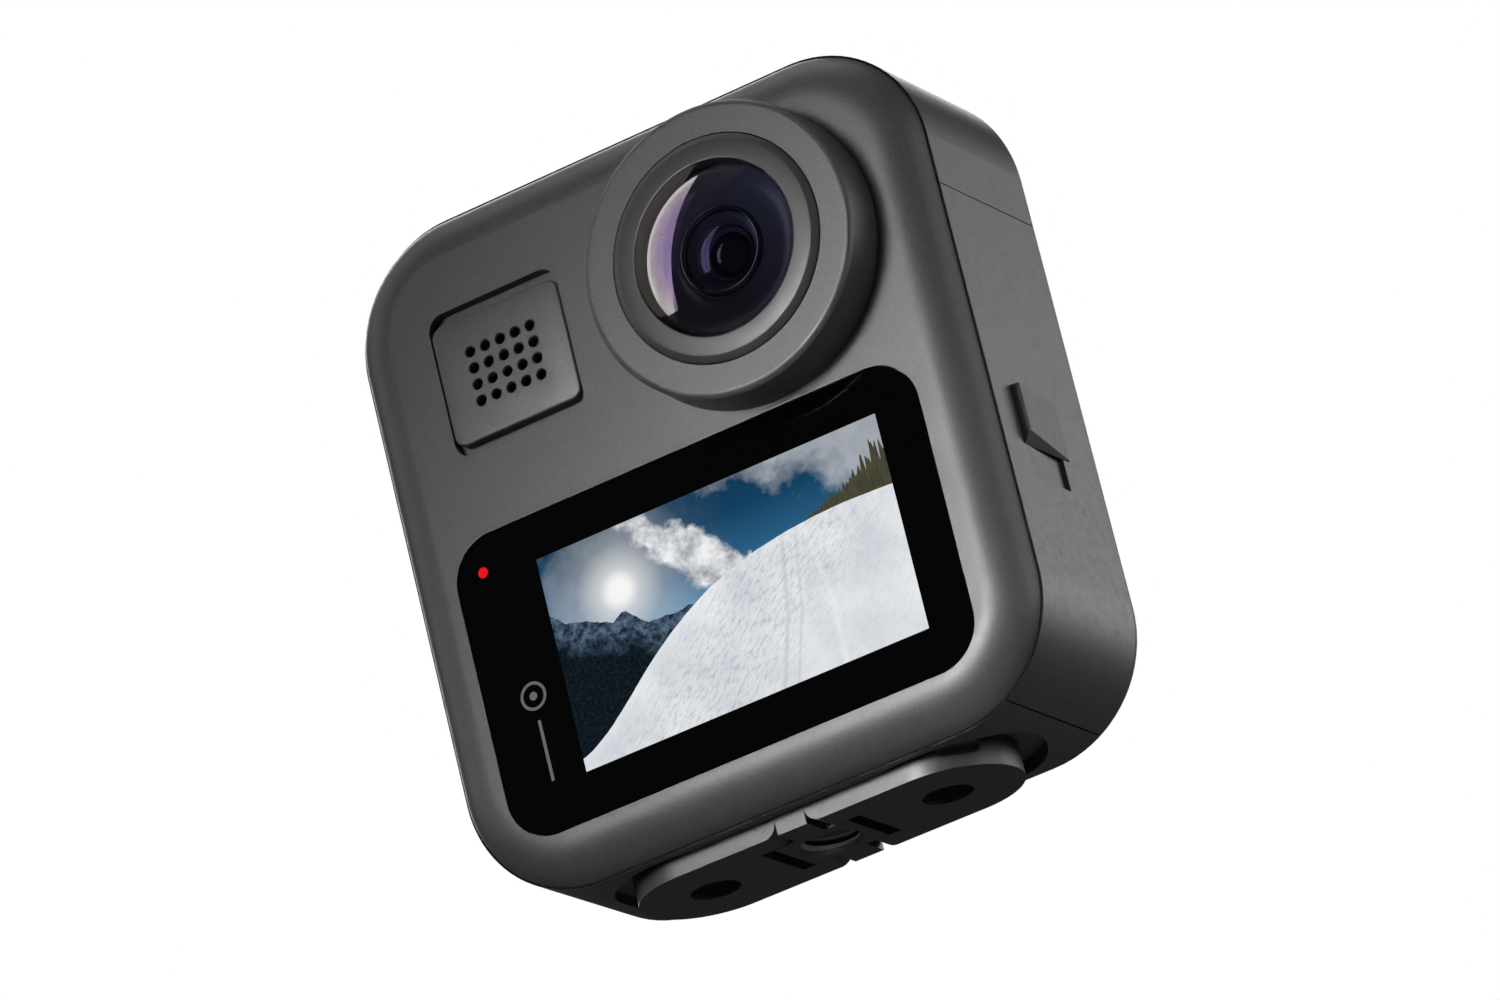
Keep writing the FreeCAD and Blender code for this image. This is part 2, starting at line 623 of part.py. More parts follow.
def card():
    """The card slot, open to the right, and the memory card in it."""
    p = Piece("card_slot")
    p.box(ADD, (13.0, 26.9), (MOUNT, -6.2), (26.0, 39.8), 0.5, "XZ")
    p.box(CUT, (14.0, 28.0), (-7.5, -6.45), (27.2, 38.6))
    Piece("memory_card").box(ADD, (14.1, 28.9), (-7.35, -6.6), (27.45, 38.35), 0.7, "XZ")


def usb_port():
    p = Piece("usb_port")
    p.box(ADD, (20.6, 28.2), (MOUNT, -4.9), (12.9, 21.9), 1.2, "YZ")
    p.box(CUT, (22.0, 29.0), (-7.4, -5.3), (13.3, 21.5), 0.9, "YZ")
    # tongue
    p.box(ADD, (21.0, 27.6), (-6.65, -6.05), (14.6, 20.2))


def battery():
    """The battery, its tray open to the right, and the contacts at the tray's left end."""
    p = Piece("battery_tray")
    p.box(ADD, (-13.3, 26.9), (-4.7, 8.1), (10.0, 42.4), 1.2, "YZ")
    p.box(CUT, (-12.5, 28.0), (-3.9, 7.3), (10.5, 41.6), 0.8, "YZ")
    p.box(CUT, (-14.0, -12.0), (-0.9, 4.3), (23.0, 29.0))
    Piece("battery").box(ADD, (-12.2, 27.4), (-3.75, 7.15), (10.7, 41.4), 1.4, "YZ")
    p = Piece("battery_contacts")
    p.box(ADD, (-15.5, -13.4), (-1.6, 5.0), (22.0, 30.0))
    pins = [(y, z) for y in (-0.2, 1.7, 3.6) for z in (24.5, 27.5)]
    p.rods(ADD, "YZ", pins, (-13.5, -12.25), 0.4)


def gps_antenna():
    p = Piece("gps_antenna")
    p.box(ADD, (3.0, 15.0), (-6.0, 6.0), (64.4, 68.4), 0.5)
    p.rod(ADD, "XY", (9.0, 0), (68.3, 68.9), 4.5)


def sensor_cable():
    """A flat strip from the sensor board, down and forward to the main board."""
    p = Piece("sensor_cable")
    strip_x = (-0.6, -0.3)
    p.box(ADD, (-0.4, 2.1), (-0.15, 0.15), (48.0, 56.0), 0, "XZ")
    p.box(ADD, strip_x, (-0.15, 0.15), (43.4, 56.0))
    p.box(ADD, strip_x, (-8.55, 0.15), (43.4, 47.5))


for build in (main_board, chips, card, usb_port, battery, gps_antenna, sensor_cable):
    build()


# ---- Battery door, its seal, hinge pin and latch ----
def door_panel():
    through_y = (-15.0, 15.0)
    p = Piece("door_stock", exported=False)
    # the right side of the body's ring, below the door's top
    body_outline(p, ADD, 0, FRAME_Y)
    p.box(CUT, (-40.0, "hinge_x - 1.6"), through_y, (-5.0, 80.0))
    p.box(CUT, (0.0, 40.0), through_y, ("door_top - seam_gap", 80.0))
    body_outline(p, CUT, "wall", through_y)
    # bored hinge knuckle
    p.rod(ADD, "XZ", HINGE, FRAME_Y, 1.05)
    p.rod(CUT, "XZ", HINGE, through_y, "pin_r + 0.03")
    # ledge under the latch spring and slot for the latch stem
    p.box(ADD, (28.7, 30.6), LATCH_Y, (19.6, 20.9))
    p.box(CUT, (29.0, 33.0), around("latch_y", "latch_half + 0.15"), (29.5, 33.2))
    # round the lower edge about the hinge
    left = block_part("door_left_side", ("hinge_x - 5", "hinge_x"), through_y, (-2.0, 12.0))
    knuckle = rod_part("knuckle_round", "XZ", HINGE, (-16.0, 16.0), "knuckle_r")
    shell = join("Cut", "door_shell", p.body, join("Cut", "door_trim", left, knuckle))
    low = 24.1
    corners = ((32.3, -5.2, low), (32.0, -5.0, low), (31.55, 2.05, low), (32.3, 2.35, low))
    scoop = prism("latch_scoop", corners, move=(0, 0, 4.6))
    export_as("door_panel", join("Cut", "door_panel", shell, scoop))


def door_seal():
    p = Piece("door_seal")
    p.box(ADD, (28.42, 29.2), (-8.3, 8.1), (9.9, 45.0), 1.5, "YZ")
    p.box(CUT, (27.0, 30.0), (-7.7, 7.5), (10.5, 44.4), 1.0, "YZ")


def door_hinge_pin():
    span = ("-seam_front - 0.5", "seam_back + 0.5")
    export_as("door_hinge_pin", rod_part("door_hinge_pin", "XZ", HINGE, span, "pin_r"))


def latch_button():
    """A wedge head sloped underneath, on a square stem through the door."""
    face, low = 32.02, 27.35
    wedge = prism("latch_wedge", ((face, -5.45, low), (f"{face} + latch_proud", -5.2, low),
                                  (32.12, 3.4, low), (face, 3.45, low)), move=(0, 0, 6.05))
    under = prism("latch_under", ((32.0, -6.0, low), (33.4, -6.0, 29.1), (33.4, -6.0, 26.0),
                                  (32.0, -6.0, 26.0)), move=(0, 12.0, 0))
    head = join("Cut", "latch_head", wedge, under)
    stem = block_part("latch_stem", (30.0, 32.1), LATCH_Y, (31.2, 33.0))
    export_as("latch_button", join("Fuse", "latch_button", head, stem))


def latch_bolt():
    """A flat bar with a tooth near its top and a foot at its lower end."""
    p = Piece("latch_bolt")
    p.box(ADD, (29.32, 30.0), LATCH_Y, (29.0, 53.2))
    p.box(ADD, (28.6, 29.5), LATCH_Y, (51.7, 52.7))
    p.box(ADD, (28.9, 29.5), LATCH_Y, (29.0, 30.2))


def latch_spring():
    pitch, height, coil_r, wire_r = 0.92, 7.2, 0.45, 0.14
    coil = Part.makeHelix(pitch, height, coil_r)
    ring = Part.Wire(Part.Circle(Vector(coil_r, 0, 0), Vector(0, 1, 0), wire_r).toShape())
    spring = Part.Wire(coil).makePipeShell([ring], True, True)
    export_as("latch_spring", shape_part("latch_spring", spring, 29.45, val("latch_y"), 21.25))


for build in (door_panel, door_seal, door_hinge_pin, latch_button, latch_bolt, latch_spring):
    build()


# ---- Tripod block and folding fingers ----
def thread_groove():
    root, crest = val("thread_root"), val("thread_r")
    inside = root - 0.05    # the profile starts inside the bore so the cut is clean
    half_root, half_crest = 0.40, 0.06
    profile = Part.makePolygon([Vector(inside, 0, -half_root), Vector(crest, 0, -half_crest),
                                Vector(crest, 0, half_crest), Vector(inside, 0, half_root),
                                Vector(inside, 0, -half_root)])
    helix = Part.makeHelix(val("thread_pitch"), 4.4, root)
    return shape_part("thread_groove", Part.Wire(helix).makePipeShell([profile], True, True), z=0.6)


def tripod_block():
    p = Piece("block_stock", exported=False)
    p.box(ADD, around(0, "block_half"), around(0, "slot_half"), (0, 7.9), 0.3)
    p.box(ADD, around(0, "block_side"), around(0, "finger_wide / 2"), (0, "finger_thick"))
    # threaded bore with a lead-in
    p.rod(CUT, "XY", (0, 0), (-1.0, 5.6), "thread_root")
    p.cone(CUT, "XY", (0, 0), (-0.01, 0.7), "thread_r + 0.1", "thread_root")
    # holes for the fold pins and the block screws
    for side in (FRONT, REAR):
        p.rods(CUT, "XZ", FOLDS, on_side(side, 2.65, 8.0), "fold_pin_r")
    p.rods(CUT, "XY", BLOCK_SCREWS, (6.1, 8.5), 0.65)
    export_as("tripod_block", join("Cut", "tripod_block", p.body, thread_groove()))


def finger_pins():
    group("finger_pins", [
        rod_part(f"fold_pin{a}{b}", "XZ", (f"{a} * fold_x", "fold_z"), on_side(b, 2.65, 7.45),
                 "fold_pin_r")
        for a in (LEFT, RIGHT) for b in (FRONT, REAR)])


def nail_groove():
    """A round-ended bar laid across the right finger's rounded end, on its front side."""
    r, half, height = 0.78, 1.6, 1.95
    reach, angle = 7.75, -50    # place about the finger hole's axis, in degrees from +X
    bar = rod_part("nail_bar", "XZ", (0, 0), (-half, half), r)
    for index, end in ((1, -1), (0, 1)):
        ball = sphere_part(f"nail_end{end + 1}", r)
        bind(ball, "Placement.Base.y", end * half)
        bar = join("Fuse", f"nail_groove{index}", bar, ball)
    bar.Placement = turned((0, 0, 1), angle)
    turn = math.radians(angle)
    bar.Placement.Base = Vector(val("finger_hole_x") + reach * math.cos(turn),
                                reach * math.sin(turn), height)
    return bar


def finger(name, side):
    p = Piece(name + "_stock", exported=False)
    hole = (f"{side} * finger_hole_x", 0)
    through = (-1, "finger_thick + 1")
    p.box(ADD, on_side(side, "finger_in", "finger_hole_x"), around(0, "finger_wide / 2"),
          (0, "finger_thick"))
    # round the inner end so the finger can turn about its pins
    p.round_edges("X", f"{side} * finger_in", 1.48, min_y=5)
    p.rod(ADD, "XY", hole, (0, "finger_thick"), "finger_wide / 2")
    p.box(CUT, on_side(side, 0.5, "slot_in"), around(0, "slot_half + 0.12"), through)
    p.rod(CUT, "XY", hole, through, "finger_hole_r")
    p.rod(CUT, "XZ", (f"{side} * fold_x", "fold_z"), (-9, 9), "fold_room")
    # pocket for the keeper disc
    p.rod(CUT, "XY", (f"{side} * magnet_x", 0), (2.2, "finger_thick + 1"), 1.5)
    if side == RIGHT:
        export_as(name, join("Cut", name, p.body, nail_groove()))
    else:
        export_as(name, p.body)


def keepers_and_magnets():
    """A disc in each finger's top and a magnet in the floor over each disc."""
    for word, side in (("right", RIGHT), ("left", LEFT)):
        disc = rod_part("keeper_" + word, "XY", (f"{side} * magnet_x", 0), (2.25, 2.98), 1.48)
        group("finger_keepers_" + word, [disc])
    group("holding_magnets", [
        rod_part(f"magnet{side + 1}", "XY", (f"{side} * magnet_x", 0), (3.72, 4.88), 1.5)
        for side in (LEFT, RIGHT)])


tripod_block()
finger_pins()
finger("finger_right", RIGHT)
finger("finger_left", LEFT)
keepers_and_magnets()


# ---- Fasteners ----
def screw(family, index, plane, spot, head_span, head_r, shank_span, shank_r):
    head = rod_part(f"{family[0]}{index}", plane, spot, head_span, head_r)
    shank = rod_part(f"{family[1]}{index}", plane, spot, shank_span, shank_r)
    return join("Fuse", f"{family[2]}{index}", head, shank)


group("case_screws", [
    screw(("screw_head", "screw_shank", "case_screw"), f"{i}{side + 1}", "XZ", spot,
          head_span=on_side(side, 4.4, 5.36), head_r=1.4,
          shank_span=on_side(side, 5.0, "half_d - 1.65"), shank_r=0.65)
    for i, spot in enumerate(POSTS) for side in (FRONT, REAR)])
group("block_screws", [
    screw(("block_head", "block_shank", "block_screw"), i, "XY", spot,
          head_span=(8.72, 9.28), head_r=1.25, shank_span=(6.15, 9.0), shank_r=0.64)
    for i, spot in enumerate(BLOCK_SCREWS)])


# ---- Buttons, each with a seal round its stem and a switch ----
def shutter():
    axis = ("shutter_x", 0)
    top = "body_top + button_proud"
    p = Piece("shutter_button")
    p.box(ADD, around("shutter_x", "shutter_half_w - button_room"),
          around(0, "shutter_half_d - button_room"), (70.25, top), 4.05)
    p.round_edges("Z", top, 0.3)
    p.rod(ADD, "XY", axis, (67.0, 70.3), 1.4)
    p = Piece("shutter_seal")
    p.rod(ADD, "XY", axis, (68.35, 69.15), 3.2)
    p.rod(CUT, "XY", axis, (68.0, 70.0), 1.45)
    p = Piece("shutter_switch")
    p.box(ADD, around("shutter_x", 3.0), (-3.0, 3.0), (64.4, 66.0), 0.5)
    p.rod(ADD, "XY", axis, (65.9, 66.45), 1.6)
    Piece("button_board").box(ADD, (-20.0, -3.0), (-4.5, 4.5), (63.4, 64.36), 1.0)


def mode():
    axis = (0, "mode_z")
    face = "-body_w / 2 - button_proud"
    p = Piece("mode_button")
    p.box(ADD, (face, -31.25), around(0, "mode_half_d - button_room"),
          around("mode_z", "mode_half_tall - button_room"), 2.3, "YZ")
    p.round_edges("X", face, 0.3)
    p.rod(ADD, "YZ", axis, (-31.3, -28.3), 1.15)
    p = Piece("mode_seal")
    p.rod(ADD, "YZ", axis, (-30.15, -29.35), 2.6)
    p.rod(CUT, "YZ", axis, (-31.0, -29.0), 1.2)
    p = Piece("mode_switch")
    p.box(ADD, (-27.3, -25.8), (-2.6, 2.6), around("mode_z", 2.6), 0.4, "YZ")
    p.rod(ADD, "YZ", axis, (-27.75, -27.2), 1.3)


shutter()
mode()


# ---- Checks and export ----
def faults():
    """Objects in error, steps that change nothing, and parts without a valid solid."""
    found = [f"{obj.Name} is {obj.State}" for obj in doc.Objects
             if "Invalid" in obj.State or "Error" in obj.State]
    for feature, adds in steps:
        base = feature.BaseFeature
        before = base.Shape.Volume if base is not None and not base.Shape.isNull() else 0.0
        change = feature.Shape.Volume - before if not feature.Shape.isNull() else 0.0
        if (change if adds else -change) < 1e-6:
            found.append(f"{feature.Name} changes nothing ({change:.4f})")
    for name, obj in parts.items():
        if obj.Shape.isNull() or not obj.Shape.isValid() or not obj.Shape.Solids:
            found.append(name + " has no valid solid")
    return found


doc.recompute()
problems = faults()
if problems:
    raise RuntimeError("; ".join(problems))
os.makedirs("parts", exist_ok=True)
for name, obj in sorted(parts.items()):
    obj.Shape.exportStep(os.path.join("parts", name + ".step"))
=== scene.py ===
"""Two-lens camera on its folding mount: detailed meshes, finishes, stage, lights and view.

Z is up and the body is centred on x = 0. The front lens, touch glass and speaker grille
face -Y, the rear lens faces +Y, and the mount is at the bottom. Meshes are built in
millimetres and scaled to metres at the end; shaders and the stage work in metres.
"""
import json
import math
from functools import cached_property

import bpy
import bmesh
from mathutils import Matrix, Vector


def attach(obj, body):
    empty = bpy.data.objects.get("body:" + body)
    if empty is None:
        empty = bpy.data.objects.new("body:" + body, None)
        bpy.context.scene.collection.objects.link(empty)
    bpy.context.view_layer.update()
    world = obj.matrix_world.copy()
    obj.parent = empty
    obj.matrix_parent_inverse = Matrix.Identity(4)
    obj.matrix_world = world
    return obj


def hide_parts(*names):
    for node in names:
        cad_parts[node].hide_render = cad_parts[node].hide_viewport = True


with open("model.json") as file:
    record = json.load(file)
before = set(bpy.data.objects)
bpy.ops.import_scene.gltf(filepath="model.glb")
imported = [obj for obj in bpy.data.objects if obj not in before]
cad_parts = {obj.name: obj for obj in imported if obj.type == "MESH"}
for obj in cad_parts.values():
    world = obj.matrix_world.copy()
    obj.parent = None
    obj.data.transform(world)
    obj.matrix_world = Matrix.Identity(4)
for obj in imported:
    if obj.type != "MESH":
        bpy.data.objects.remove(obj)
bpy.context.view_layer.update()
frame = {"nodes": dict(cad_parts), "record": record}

MM = 0.001
BODY = "camera_body"
LENS_X, LENS_Z = 11.7, 53.0  # shared axis of the two lenses

# Casing outline, and the seams that run round it
CASING_WIDTH, CASING_HEIGHT, CASING_RADIUS = 64.0, 69.3, 12.3
CASING_Z = 36.35
# the black band in each seam is painted shade, put where the gap between the casing parts is
SEAMS = (("front_seam_gasket", -9.4), ("rear_seam_gasket", 9.2))  # name, y of the seam
SEAM_HALF_WIDTH = 0.055
SHADE_BAND_OUTER, SHADE_BAND_INNER = 0.035, 0.6  # inset from the casing outline

COVER = dict(width=51.7, height=30.8, radius=4.6, centre_x=-0.03, centre_z=22.21,
             front=-12.65, back=-11.5, edge=0.16, steps=20)

GRILLE_X, GRILLE_Z = -15.28, 53.17
GRILLE = dict(width=14.53, height=12.6, radius=1.3, centre_x=GRILLE_X, centre_z=GRILLE_Z,
              front=-12.72, back=-11.52, edge=0.28, steps=12)
HOLE_PITCH = 1.72
HOLE_COLUMNS = (-2, -1, 0, 1, 2)      # in pitches from the grille's centre
HOLE_ROWS = (-1.5, -0.5, 0.5, 1.5)
HOLE_SEGMENTS = 28
# y, radius: flared mouth, then a straight bore
HOLE_PROFILE = ((-13.2, 0.66), (-12.74, 0.62), (-12.60, 0.515), (-12.5, 0.50), (-11.2, 0.50))

# ------------------------------------------------------------------ mesh helpers


def rounded_outline(width, height, radius, centre_x, centre_z, steps):
    """Rounded rectangle as (x, z) points, anticlockwise seen from -Y."""
    points = []
    for quarter, (side_x, side_z) in enumerate(((1, -1), (1, 1), (-1, 1), (-1, -1))):
        corner_x = centre_x + side_x * (width / 2 - radius)
        corner_z = centre_z + side_z * (height / 2 - radius)
        for i in range(steps + 1):
            angle = math.radians(-90 + 90 * quarter + 90 * i / steps)
            points.append((corner_x + radius * math.cos(angle),
                           corner_z + radius * math.sin(angle)))
    return points


def loft(mesh, loops, cap=True):
    """Skin through loops of 3-D points with equal counts."""
    rows = [[mesh.verts.new(point) for point in loop] for loop in loops]
    count = len(rows[0])
    for first, second in zip(rows, rows[1:]):
        for i in range(count):
            j = (i + 1) % count
            mesh.faces.new((first[i], first[j], second[j], second[i]))
    if cap:
        mesh.faces.new(list(reversed(rows[0])))
        mesh.faces.new(rows[-1])


def weld_and_orient(mesh):
    bmesh.ops.remove_doubles(mesh, verts=mesh.verts, dist=1e-5)
    bmesh.ops.recalc_face_normals(mesh, faces=mesh.faces)


def plate(width, height, radius, centre_x, centre_z, front, back, edge, steps):
    """Rounded slab across Y whose front (-Y) rim is rounded to the radius edge."""
    edge_steps = 5
    sections = []  # inset, y
    for i in range(edge_steps + 1):
        angle = math.pi / 2 * (1 - i / edge_steps)
        sections.append((edge * (1 - math.cos(angle)), front + edge * (1 - math.sin(angle))))
    sections.append((0.0, back))
    mesh = bmesh.new()
    loft(mesh, [[(x, y, z) for x, z in rounded_outline(
        width - 2 * inset, height - 2 * inset, radius - inset, centre_x, centre_z, steps)]
        for inset, y in sections])
    weld_and_orient(mesh)
    return mesh


def revolve(profile, side, segments):
    """Turns (radius, height) pairs about the lens axis; side is -1 towards -Y, 1 towards +Y.

    Height is measured outwards from y = 0. A profile that starts on the axis also ends on it;
    any other is joined end to start.
    """
    mesh = bmesh.new()
    rows = []
    for radius, height in profile:
        turns = [2 * math.pi * i / segments for i in range(segments if radius else 1)]
        rows.append([mesh.verts.new((LENS_X + radius * math.cos(turn), side * height,
                                     LENS_Z + radius * math.sin(turn))) for turn in turns])
    pairs = list(zip(rows, rows[1:]))
    if profile[0][0]:
        pairs.append((rows[-1], rows[0]))
    for first, second in pairs:
        for i in range(segments):
            j = (i + 1) % segments
            if len(first) == 1:
                mesh.faces.new((first[0], second[i], second[j]))
            elif len(second) == 1:
                mesh.faces.new((first[i], first[j], second[0]))
            else:
                mesh.faces.new((first[i], first[j], second[j], second[i]))
    bmesh.ops.recalc_face_normals(mesh, faces=mesh.faces)
    return mesh


def cap_profile(rim, curvature, apex, steps):
    """Profile of a spherical cap from its apex to its rim radius."""
    opening = math.asin(rim / curvature)
    return [(curvature * math.sin(i / steps * opening),
             apex - curvature + curvature * math.cos(i / steps * opening))
            for i in range(steps + 1)]


def new_object(name, mesh):
    data = bpy.data.meshes.new(name)
    mesh.to_mesh(data)
    mesh.free()
    obj = bpy.data.objects.new(name, data)
    bpy.context.scene.collection.objects.link(obj)
    return obj


def add_part(name, mesh, material, sharp_angle, replaced=None):
    """Finished part on the camera body; replaced names the CAD node it stands in for."""
    bmesh.ops.scale(mesh, vec=(MM, MM, MM), verts=mesh.verts)
    obj = new_object(name, mesh)
    for polygon in obj.data.polygons:
        polygon.use_smooth = True
    obj.data.set_sharp_from_angle(angle=math.radians(sharp_angle))
    obj.data.materials.append(material)
    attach(obj, BODY)
    if replaced:
        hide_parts(replaced)
    return obj


def cut(solid, tool):
    """The solid with the tool taken away."""
    base, cutter = new_object("tmp", solid), new_object("tmp", tool)
    modifier = base.modifiers.new("cut", "BOOLEAN")
    modifier.operation = "DIFFERENCE"
    modifier.object = cutter
    modifier.solver = "EXACT"
    bpy.context.view_layer.update()
    graph = bpy.context.evaluated_depsgraph_get()
    data = bpy.data.meshes.new_from_object(base.evaluated_get(graph), depsgraph=graph)
    result = bmesh.new()
    result.from_mesh(data)
    for obj in (cutter, base):
        bpy.data.objects.remove(obj)
    bpy.data.meshes.remove(data)
    bmesh.ops.remove_doubles(result, verts=result.verts, dist=1e-4)
    return result

# ------------------------------------------------------------------ shader helpers


def math_node(operation):
    """Method that adds a Math node fed by the signal and, if given, another value."""
    return lambda self, other=None: self.net.math(operation, self, other)


class Signal:
    """Output socket of a shader node; operators and methods add the nodes that follow it."""

    def __init__(self, net, socket):
        self.net = net
        self.socket = socket

    __add__ = math_node("ADD")
    __sub__ = math_node("SUBTRACT")
    __mul__ = math_node("MULTIPLY")
    __truediv__ = math_node("DIVIDE")
    __pow__ = math_node("POWER")
    __lt__ = math_node("LESS_THAN")
    __gt__ = math_node("GREATER_THAN")
    __abs__ = math_node("ABSOLUTE")
    sqrt = math_node("SQRT")
    maximum = math_node("MAXIMUM")

    def __rsub__(self, other):
        return self.net.math("SUBTRACT", other, self)

    def between(self, low, high):
        return (self > low) * (self < high)

    def span(self, start, end, low=0.0, high=1.0):
        """Maps start..end onto low..high, clamped."""
        return self.net.value("ShaderNodeMapRange", dict(enumerate((self, start, end, low, high))),
                              clamp=True)

    def vary(self, low=0.0, high=1.0):
        """Maps the usual range of a noise, 0.3..0.7, onto low..high."""
        return self.span(0.3, 0.7, low, high)

    def mix(self, off, on):
        """Colour between off (signal 0) and on (signal 1)."""
        off, on = ((*c, 1) if isinstance(c, tuple) else c for c in (off, on))
        node = self.net.node("ShaderNodeMix", data_type="RGBA")
        for index, content in ((0, self), (6, off), (7, on)):
            self.net.put(node.inputs[index], content)
        return Signal(self.net, node.outputs[2])

    def ramp(self, stops, interpolation="LINEAR"):
        """Colour ramp through (position, colour or grey value) stops."""
        node = self.net.node("ShaderNodeValToRGB", {0: self})
        node.color_ramp.interpolation = interpolation
        elements = node.color_ramp.elements
        while len(elements) < len(stops):
            elements.new(0.5)
        for element, (position, color) in zip(elements, stops):
            element.position = position
            element.color = (*color, 1) if isinstance(color, tuple) else (color,) * 3 + (1,)
        return Signal(self.net, node.outputs[0])

    def bump(self, strength, depth=0.00003):
        return self.net.value("ShaderNodeBump",
                              {"Height": self, "Strength": strength, "Distance": depth})


def hypot(a, b):
    return (a ** 2.0 + b ** 2.0).sqrt()


class Net:
    """New material and the nodes that feed its Principled BSDF."""

    def __init__(self, name):
        self.material = bpy.data.materials.new(name)
        self.material.use_nodes = True
        self.tree = self.material.node_tree
        self.principled = self.tree.nodes["Principled BSDF"]

    @cached_property
    def place(self):
        return self.value("ShaderNodeTexCoord", output="Object")

    def put(self, socket, content):
        if isinstance(content, Signal):
            self.tree.links.new(content.socket, socket)
        elif content is not None:
            socket.default_value = content

    def node(self, kind, inputs=None, **properties):
        node = self.tree.nodes.new(kind)
        for key, content in properties.items():
            setattr(node, key, content)
        for key, content in (inputs or {}).items():
            self.put(node.inputs[key], content)
        return node

    def value(self, kind, inputs=None, output=0, **properties):
        return Signal(self, self.node(kind, inputs, **properties).outputs[output])

    def math(self, operation, a, b=None, clamp=False):
        return self.value("ShaderNodeMath", {0: a, 1: b}, operation=operation, use_clamp=clamp)

    def noise(self, scale, detail=2.0, rough=0.5, vector=None):
        return self.value("ShaderNodeTexNoise", {
            "Vector": vector or self.place, "Scale": scale, "Detail": detail, "Roughness": rough})

    def checker(self, scale):
        return self.value("ShaderNodeTexChecker", {"Vector": self.place, "Scale": scale}, "Fac")

    def split(self, vector=None):
        """x, y and z of a vector, by default the place on the object."""
        node = self.node("ShaderNodeSeparateXYZ", {"Vector": vector or self.place})
        return [Signal(self, socket) for socket in node.outputs]

    def join(self, x, y):
        return self.value("ShaderNodeCombineXYZ", {"X": x, "Y": y})

    def from_lens_axis(self):
        """Sideways and upward offsets from the lens axis."""
        x, _, z = self.split()
        return x - LENS_X * MM, z - LENS_Z * MM

    def surface(self, **inputs):
        """Fills Principled inputs, named with underscores for spaces; returns the material."""
        for key, content in inputs.items():
            self.put(self.principled.inputs[key.replace("_", " ")], content)
        return self.material

# ------------------------------------------------------------------ general finishes


def grained(name, dark, light, rough, spread, grain, bump, spec=0.5, coat=0.0, details=None):
    """Moulded or painted finish: fine grain, a slow colour drift and faint handling marks."""
    net = Net(name)
    fine = net.noise(scale=grain, detail=3.0, rough=0.6)
    slow = net.noise(scale=60.0, detail=3.0)
    speck = net.noise(scale=grain * 0.45)
    middle = tuple(0.5 * (a + b) for a, b in zip(dark, light))
    color = fine.vary().mix(dark, light)
    color = slow.span(0.35, 0.65, high=0.35).mix(color, middle)
    if details:
        color = details(net, color)
    marks = net.noise(scale=900.0, detail=4.0, rough=0.7)
    roughness = fine.vary(rough - spread, rough + spread)
    return net.surface(
        Base_Color=color,
        Roughness=roughness + marks.span(0.45, 0.75, low=-0.02, high=0.05),
        Normal=(fine * 0.6 + speck * 0.4).bump(bump, depth=0.00004),
        Coat_Weight=coat, Specular_IOR_Level=spec)


def mount_details(net, color):
    """Painted shade: a dark line round each hinge pin's head on the long edges, where pin and
    finger meet; lighter colour on the crests of the tripod thread.
    """
    pin_x, pin_z, head_radius, half_line, edge_y = 0.00315, 0.0015, 0.00064, 0.00007, 0.0073
    thread_radius, thread_bottom, thread_top = 0.00290, 0.0003, 0.0058
    x, y, z = net.split()
    head = hypot(abs(x) - pin_x, z - pin_z)
    line = abs(head - head_radius) < half_line
    # painted shade: a dark ring where the gap round each pin head is
    color = (line * (abs(y) > edge_y)).mix(color, (0.004, 0.004, 0.004))
    crest = (hypot(x, y) < thread_radius) * (z < thread_top)
    return (crest * (z > thread_bottom)).mix(color, (0.20, 0.20, 0.205))


def metal(name, color, rough, stretch=(1, 1, 60), scale=900.0):
    """Bare metal with a grain; stretch sets how the grain is drawn out."""
    net = Net(name)
    vector = net.value("ShaderNodeMapping", {"Vector": net.place, "Scale": stretch})
    grain = net.noise(scale=scale, detail=4.0, rough=0.6, vector=vector)
    darker = tuple(c * (1 - 0.08) for c in color)
    return net.surface(Base_Color=grain.mix(darker, color), Metallic=1.0,
                       Roughness=grain.vary(rough - 0.06, rough + 0.08),
                       Normal=grain.bump(strength=0.12))


def board_finish():
    """Green mask with paler lines and gold dots."""
    net = Net("circuit_mask")
    brick = net.node("ShaderNodeTexBrick", {
        "Vector": net.place, "Scale": 700.0, "Mortar Size": 0.03,
        "Color1": (0.010, 0.045, 0.030, 1), "Color2": (0.012, 0.055, 0.036, 1),
        "Mortar": (0.06, 0.12, 0.06, 1)})
    tiles, lines = (Signal(net, brick.outputs[key]) for key in ("Color", "Fac"))
    cells = net.value("ShaderNodeTexVoronoi", {"Vector": net.place, "Scale": 900.0}, "Distance")
    dots = cells < 0.13
    return net.surface(Base_Color=dots.mix(tiles, (0.55, 0.42, 0.18)),
                       Roughness=net.noise(scale=1500.0).vary(0.25, 0.4),
                       Metallic=dots * 0.8, Normal=lines.bump(strength=0.3))


def battery_finish():
    """Near-black wrap with one blue band across x."""
    net = Net("battery_wrap")
    band = net.split()[0].between(0.0225, 0.0262)
    grain = net.noise(scale=2400.0, detail=3.0)
    wrap = grain.vary().mix((0.010, 0.011, 0.014), (0.018, 0.019, 0.023))
    return net.surface(Base_Color=band.mix(wrap, (0.10, 0.17, 0.30)),
                       Roughness=grain.vary(0.30, 0.42), Normal=grain.bump(strength=0.15))


def ceramic_finish():
    net = Net("antenna_ceramic")
    grain = net.noise(scale=1800.0, detail=4.0)
    return net.surface(Base_Color=grain.mix((0.55, 0.48, 0.36), (0.68, 0.61, 0.48)),
                       Roughness=grain.vary(0.45, 0.6), Normal=grain.bump(strength=0.2))


